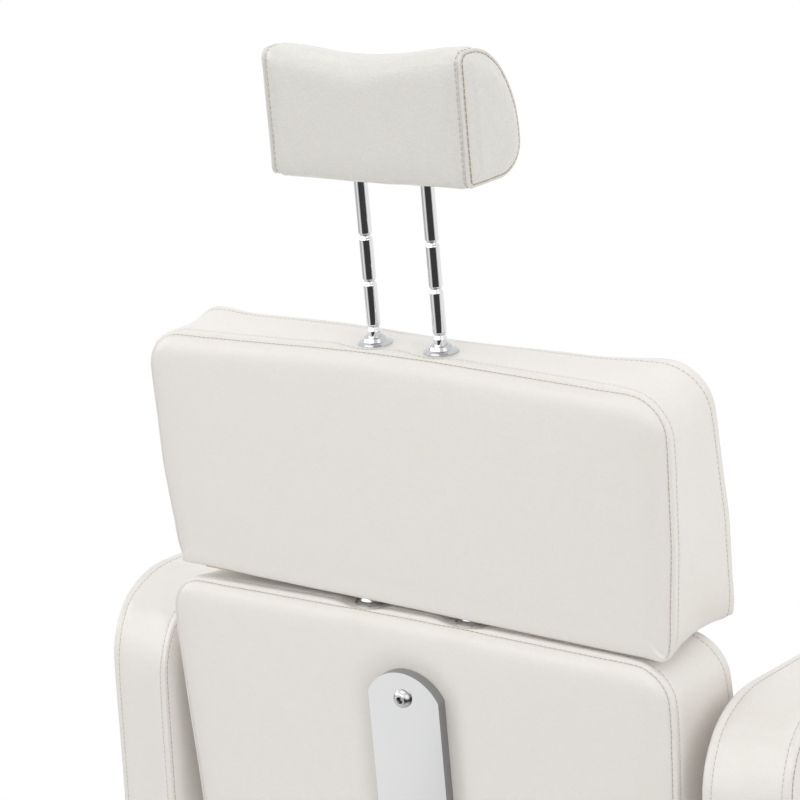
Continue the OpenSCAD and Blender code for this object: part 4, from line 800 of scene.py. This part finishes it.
def form_of(corners, picks, foot, top, drawn, back_crown, crown, place):
    """A padded form's outline, thicknesses and crowns. picks are its grid's four corners."""
    points, middles = rounded(corners)
    low, high = points[:, 1].min(), points[:, 1].max()
    return {"outline": (points, [middles[k] for k in picks]), "foot": foot, "top": top, "low": low,
            "rise": high - low, "drawn": drawn, "back_crown": back_crown, "crown": crown,
            "place": place}


print("lean of the back:", round(math.degrees(math.asin(UP_BACK[1])), 2), "degrees")

# %% [markdown]
# The upper back is the widest cushion: a wedge that is thicker at its foot, with a nearly straight
# top and sides that taper in below the middle. It slides up and down on two rods. It was stuffed by
# hand and isn't quite true: its foot slopes, and its front top edge sags in the middle and stands
# up at the right corner. A last bend of the finished form gives it that, and seats the rods' cover
# plates. Each bend sets in gently: eased() gets how far a point lies past the bend's start, over
# the width in which it grows.

# %% Upper back
U_TOP, U_FOOT, U_LOW, U_HIGH, U_REAR = 0.548, 0.526, 0.347, 0.579, 0.06994
U_BEND = U_LOW + (U_HIGH - U_LOW) * 0.42
U_PLATES, U_SEAT = [(-0.035, 0.03594), (0.035, 0.03594)], U_HIGH + 0.0018
FOOT_RIGHT, FOOT_LEFT, FOOT_R = -0.004, 0.0055, 0.009
SAG, RIGHT_LIFT, LEFT_LIFT = 0.007, 0.008, 0.005
upper_form = form_of(
    [(-U_FOOT / 2, U_LOW + FOOT_RIGHT, FOOT_R), (U_FOOT / 2, U_LOW + FOOT_LEFT, FOOT_R),
     (U_TOP / 2 - 0.002, U_BEND, 0.24), (U_TOP / 2, U_HIGH - 0.004, 0.034),
     (0, U_HIGH + 0.005, 2.4), (-U_TOP / 2, U_HIGH - 0.004, 0.034),
     (-U_TOP / 2 + 0.002, U_BEND, 0.24)],
    (0, 1, 3, 5), 0.121, 0.083, 3.0, 0.6, 12, slab_on_back(U_REAR))
upper_form["soft_foot"] = True


def hand_made(points):
    """Sags the front top edge in the middle, lifts its ends and seats the plates."""
    x, y, z = leaning(under_plates(points, U_PLATES, U_SEAT))
    high_up = eased((z - U_HIGH + 0.08) / 0.06)
    in_front = eased((U_REAR - y - 0.045) / 0.035) * high_up
    off_rear = high_up * eased((U_REAR - y - 0.008) / 0.03)
    sag = SAG * np.exp(-((x + 0.02) / 0.11) ** 2)
    right = RIGHT_LIFT * eased((-x - 0.16) / 0.1)
    left = LEFT_LIFT * eased((x - 0.19) / 0.07)
    return on_back(x, y, z + in_front * (right - sag) + off_rear * left)


upper_form["warp"] = hand_made
make_cover("upper_back_cover", "upper_back", "upper_back_cushion", upper_form, 92, 40, 9, 4)

# %% [markdown]
# The lower back carries the rods' lower ends in its top edge, and the chromed bar lies on its rear.
# The bar is bolted down hard, so the cover lies flat under it and only fills out again beside it.
# Its right side isn't quite square either.

# %% Lower back
L_TOP, L_FOOT, L_LOW, L_HIGH, L_REAR = 0.540, 0.520, 0.045, 0.340, 0.079
lower_form = form_of(
    [(-L_FOOT / 2, L_LOW, 0.026), (L_FOOT / 2, L_LOW, 0.026), (L_TOP / 2, L_HIGH - 0.06, 0.3),
     (L_TOP / 2, L_HIGH, 0.032), (0, L_HIGH + 0.003, 2.0), (-L_TOP / 2, L_HIGH, 0.032),
     (-L_TOP / 2, L_HIGH - 0.06, 0.3)],
    (0, 1, 3, 5), 0.112, 0.095, 3.0, 0.6, 12, slab_on_back(L_REAR))
BAR_HALF, BAR_END, BAR_CENTRE = 0.038, 0.043, 0.253
L_PLATES, L_SEAT = [(-0.0545, 0.04964), (0.0545, 0.04964)], L_HIGH + 0.0008
PRESSED = L_REAR - 0.0004
SIDE_IN, SIDE_OUT = 0.004, 0.005


def under_bar(points):
    """Flattens the rear of the lower back under the bar, and its top under the rods' plates."""
    x, y, z = leaning(under_plates(points, L_PLATES, L_SEAT))
    beside = np.maximum(np.abs(x) - BAR_HALF, np.hypot(x, np.maximum(z - BAR_CENTRE, 0)) - BAR_END)
    free = eased((beside - 0.003) / 0.02)
    y = np.where(y > L_REAR - 0.012, PRESSED + (y - PRESSED) * free, y)
    shift = SIDE_IN - (SIDE_IN + SIDE_OUT) * eased((L_REAR - y) / 0.09)
    x = x + shift * eased((-x - 0.15) / 0.1)
    return on_back(x, y, z)


lower_form["soft_foot"] = True
lower_form["warp"] = under_bar
make_cover("lower_back_cover", "lower_back", "lower_back_cushion", lower_form, 90, 50, 10, 4)

# %% [markdown]
# Each arm is a tall padded panel with a flat inner side, a softly crowned outer side and a broad
# strip that runs over its round top corners. Its outer side sits a little further forward and
# higher than its inner side, so the strip slants. The same outline is drawn once and placed on both
# sides.

# %% Arms
ARM_X, ARM_T, ARM_SWEEP, ARM_RISE = 0.287, 0.085, 0.0146, 0.0068
arm_corners = [(-0.292, 0.345, 0.026), (0.2748, 0.345, 0.026), (0.302, 0.7075, 0.073),
               (0, 0.7235, 0.8), (-0.300, 0.7035, 0.073)]


def arm_place(side):
    """Stands an arm's outline up on one side of the chair."""
    return lambda p: np.stack([side * (ARM_X + p[:, 2]), p[:, 0] - ARM_SWEEP * p[:, 2] / ARM_T,
                               p[:, 1] + ARM_RISE * p[:, 2] / ARM_T], 1)


for side, label in ((1, "left"), (-1, "right")):
    arm_form = form_of(arm_corners, (0, 1, 2, 4), ARM_T, ARM_T, 1.5, 0.4, 5, arm_place(side))
    make_cover("arm_cover_" + label, "seat", "arm_" + label, arm_form, 96, 62, 7, 4, edge=ARM_EDGE,
               trial=(42, 28, 6))

# %% [markdown]
# The seat cushion is a deep crowned box with larger corners at the front.

# %% Seat
SEAT_W, SEAT_L, SEAT_Y, SEAT_Z = 0.560, 0.488, -0.086, 0.408
seat_form = form_of(
    [(-SEAT_W / 2, -SEAT_L / 2, 0.046), (SEAT_W / 2, -SEAT_L / 2, 0.046),
     (SEAT_W / 2, SEAT_L / 2, 0.028), (-SEAT_W / 2, SEAT_L / 2, 0.028)],
    (0, 1, 2, 3), 0.084, 0.078, 3.0, 0, 14,
    lambda p: np.stack([p[:, 0], SEAT_Y + p[:, 1], SEAT_Z + p[:, 2]], 1))
make_cover("seat_cover", "seat", "seat_cushion", seat_form, 88, 76, 8, 9, trial=(42, 36, 7))

# %% [markdown]
# The headrest is a small bolster: a flat rear, a round top that dips in the middle, and a full
# front. Its end caps are domed panels with a thin bead in the seam. It is the same kind of form
# lying on its side, so its outline is the end view, drawn with four arcs, and its thickness runs
# across the chair. A last bend makes the dip. It also lowers the top towards the left end, and
# hangs the foot a little.

# %% Headrest
H_REAR, H_BASE, H_H, H_D, H_W, H_DIP = 0.07294, 0.736, 0.118, 0.084, 0.206, 0.010
TOP_LEAN, FOOT_HANG, FRONT_DRAW = 0.003, 0.0025, 0.006


def arc(x, y, wide, tall, first, last, step):
    """Points of part of an ellipse round (x, y), with its half width and half height."""
    angles = np.radians(np.arange(first, last + 1, step))
    return [(x + wide * math.cos(a), y + tall * math.sin(a)) for a in angles]


side_view = np.concatenate([
    arc(-0.012, H_H - 0.012, 0.012, 0.012, 0, 90, 10),
    arc(-0.016, 0.027, H_D - 0.016, H_H - 0.027, 95, 180, 5),
    arc(-H_D + 0.034, 0.027, 0.034, 0.029, 190, 270, 10),
    arc(-0.008, 0.008, 0.008, 0.008, 270, 360, 10)])


def dipped(points):
    """Lowers the top and draws in the front towards the middle of the headrest."""
    x, y, z = leaning(points)
    y, z = y - H_REAR, z - H_BASE
    hollow = (1 + np.cos(np.pi * np.clip(np.abs(x) / (H_W / 2), 0, 1))) / 2
    z = np.where(z > 0, z * (1 - (H_DIP * hollow + TOP_LEAN * (1 + x / 0.1)) / H_H), z)
    y = y * (1 - FRONT_DRAW / H_D * hollow)
    z = z - FOOT_HANG * eased((x + 0.1) / 0.1) * (1 - z / H_H)
    return on_back(x, y + H_REAR, z + H_BASE)


NEAR_CORNERS = ((-0.0024, 0.0024), (-0.0035, 0.1145), (-0.072, 0.083), (-0.068, -0.0005))
head_corners = [int(np.argmin(np.abs(side_view - c).sum(1))) for c in NEAR_CORNERS]
head_form = {"outline": (side_view, head_corners), "foot": H_W, "top": H_W, "low": 0, "rise": 1,
             "drawn": -0.8, "back_crown": 4, "crown": 4, "warp": dipped,
             "place": lambda p: on_back(p[:, 2] - H_W / 2, H_REAR + p[:, 0], H_BASE + p[:, 1])}
make_cover("headrest_cover", "headrest", "headrest_cushion", head_form, 22, 18, 24, 3,
           edge=BEAD_EDGE, rows=BEAD_STITCHES, finish=head_cover, trial=(14, 10, 14), wave=1.0)

# %% [markdown]
# The studio is a pale floor under a white sky. Far from the chair the floor is simply white for the
# camera and in reflections, as a paper sweep is, and near the chair it is an ordinary matte floor
# that keeps the shadow. Polished rods would be lost in a wholly white room, so a dark cloth lies on
# the floor on the camera's side, and a grey one on the chair's left. Only reflections see them, as
# a dark stripe down the middle of each rod and a grey one beside it. Each cloth is a fan of
# directions from the chair, with a softened border.

# %% Floor
FLOOR_R = 18
PAPER_GREY = (0.86, 0.86, 0.855)
CLOTH_DARK = (0.055, 0.052, 0.05)
CLOTH_SIDE = (-math.sin(TURN), math.cos(TURN), 0.0)
CLOTH_FAN = [(0.42, 0.0), (0.46, 0.42), (0.60, 0.36), (0.68, 1.0)]
CLOTH_DEPTH, CLOTH_ENDS = 8.0, [(0.07, 0.0), (0.10, 1.0), (0.62, 1.0), (0.70, 0.0)]
GREY_SIDE = (0.97, 0.24, 0.0)
GREY_FAN = [(0.84, 0.0), (0.88, 0.45)]
SWEEP_DEPTH, SWEEP_ENDS = 3.0, [(0.17, 0.0), (0.40, 1.0)]
floor_mesh = bpy.data.meshes.new("studio_floor")
shaped = bmesh.new()
bmesh.ops.create_circle(shaped, cap_ends=True, radius=FLOOR_R, segments=96)
shaped.to_mesh(floor_mesh)
shaped.free()
floor = bpy.data.objects.new("studio_floor", floor_mesh)
scene.collection.objects.link(floor)
paper, tree, shader, where = new_finish("floor_paper")
shader.inputs["Base Color"].default_value = (*PAPER_GREY, 1)
shader.inputs["Roughness"].default_value = 0.85
ray = tree.nodes.new("ShaderNodeLightPath").outputs
seen = maths(tree, "MAXIMUM", ray["Is Glossy Ray"], ray["Is Transmission Ray"])
seen = maths(tree, "MAXIMUM", ray["Is Camera Ray"], seen)
reach = add(tree, "ShaderNodeVectorMath", 1, set_operation="LENGTH", i0=where)
fade = ramp(tree, maths(tree, "DIVIDE", reach, SWEEP_DEPTH), SWEEP_ENDS)
flat = add(tree, "ShaderNodeVectorMath", set_operation="NORMALIZE", i0=where)
toward = add(tree, "ShaderNodeVectorMath", 1, set_operation="DOT_PRODUCT", i0=flat, i1=CLOTH_SIDE)
ends = ramp(tree, maths(tree, "DIVIDE", reach, CLOTH_DEPTH), CLOTH_ENDS)
cloth = maths(tree, "MULTIPLY", ramp(tree, toward, CLOTH_FAN), ends)
beside = add(tree, "ShaderNodeVectorMath", 1, set_operation="DOT_PRODUCT", i0=flat, i1=GREY_SIDE)
cloth = maths(tree, "MAXIMUM", cloth, ramp(tree, beside, GREY_FAN))
cloth = maths(tree, "MULTIPLY", cloth, ray["Is Glossy Ray"])
glow = add(tree, "ShaderNodeEmission", Color=blend_colour(tree, cloth, (1.0, 1.0, 1.0), CLOTH_DARK),
           Strength=1.0)
both = add(tree, "ShaderNodeMixShader", i0=maths(tree, "MULTIPLY", seen, fade),
           i1=shader.outputs[0], i2=glow)
tree.links.new(both, tree.nodes["Material Output"].inputs["Surface"])
floor_mesh.materials.append(paper)
print("floor radius", round(floor.dimensions.x / 2, 1), "m")

# %% [markdown]
# The light is a soft white room. The sky lights the chair evenly. A large soft box above and behind
# it adds the brighter tops, and a small one stands on the chair's right. A glossy surface also
# needs something to mirror, so a bright wall stands to the camera's left. It gives the rolled edges
# of the cushions their pearly band, and only reflections see it.

# %% Sky, wall and lamps
SKY_WHITE, SKY_STRENGTH = (1.0, 0.995, 0.985, 1), 0.88
PURE_WHITE = (1.0, 1.0, 1.0, 1)
WALL_SIDE = (math.sin(TURN), math.cos(TURN), 0.0)
WALL_FAN = [(0.45, 0.0), (0.65, 1.0)]
WALL_HEIGHTS = [(0.48, 0.0), (0.50, 1.0), (0.95, 1.0), (1.0, 0.0)]
WALL_GLARE = 1.4
LAMP_AIM = Vector((0, 0.2, 0.9))
world = bpy.data.worlds.new("studio_sky")
scene.world = world
world.use_nodes = True
tree = world.node_tree
tree.nodes.clear()
ray = tree.nodes.new("ShaderNodeLightPath").outputs
away = tree.nodes.new("ShaderNodeTexCoord").outputs["Generated"]
flat_away = add(tree, "ShaderNodeVectorMath", set_operation="MULTIPLY", i0=away, i1=(1.0, 1.0, 0.0))
flat_away = add(tree, "ShaderNodeVectorMath", set_operation="NORMALIZE", i0=flat_away)
to_wall = add(tree, "ShaderNodeVectorMath", 1, set_operation="DOT_PRODUCT", i0=flat_away,
              i1=WALL_SIDE)
height = add(tree, "ShaderNodeSeparateXYZ", 2, Vector=away)
stands = ramp(tree, maths(tree, "ADD", height, 0.5), WALL_HEIGHTS)
wall = maths(tree, "MULTIPLY", ramp(tree, to_wall, WALL_FAN), stands)
glare = maths(tree, "ADD", 1.0, maths(tree, "MULTIPLY", wall, WALL_GLARE))
mirrored = add(tree, "ShaderNodeBackground", Color=PURE_WHITE, Strength=glare)
shown = add(tree, "ShaderNodeBackground", Color=PURE_WHITE, Strength=1.0)
sky = add(tree, "ShaderNodeBackground", Color=SKY_WHITE, Strength=SKY_STRENGTH)
seen = maths(tree, "MAXIMUM", ray["Is Glossy Ray"], ray["Is Transmission Ray"])
mixed = add(tree, "ShaderNodeMixShader", i0=seen, i1=sky, i2=mirrored)
mixed = add(tree, "ShaderNodeMixShader", i0=ray["Is Camera Ray"], i1=mixed, i2=shown)
tree.links.new(mixed, tree.nodes.new("ShaderNodeOutputWorld").inputs["Surface"])


def soft_box(name, place, width, depth, watts):
    """A rectangular lamp that shines at the middle of the backs."""
    lamp = bpy.data.lights.new(name, "AREA")
    lamp.shape = "RECTANGLE"
    lamp.size, lamp.size_y, lamp.energy = width, depth, watts
    stand = bpy.data.objects.new(name, lamp)
    stand.location = place
    stand.rotation_mode = "QUATERNION"
    stand.rotation_quaternion = (LAMP_AIM - Vector(place)).to_track_quat("-Z", "Y")
    scene.collection.objects.link(stand)


soft_box("top_box", (0.3, 0.9, 3.2), 2.6, 2.0, 12)
soft_box("side_box", (-2.6, 1.2, 1.9), 1.6, 1.8, 6)
scene.view_settings.view_transform = "Standard"
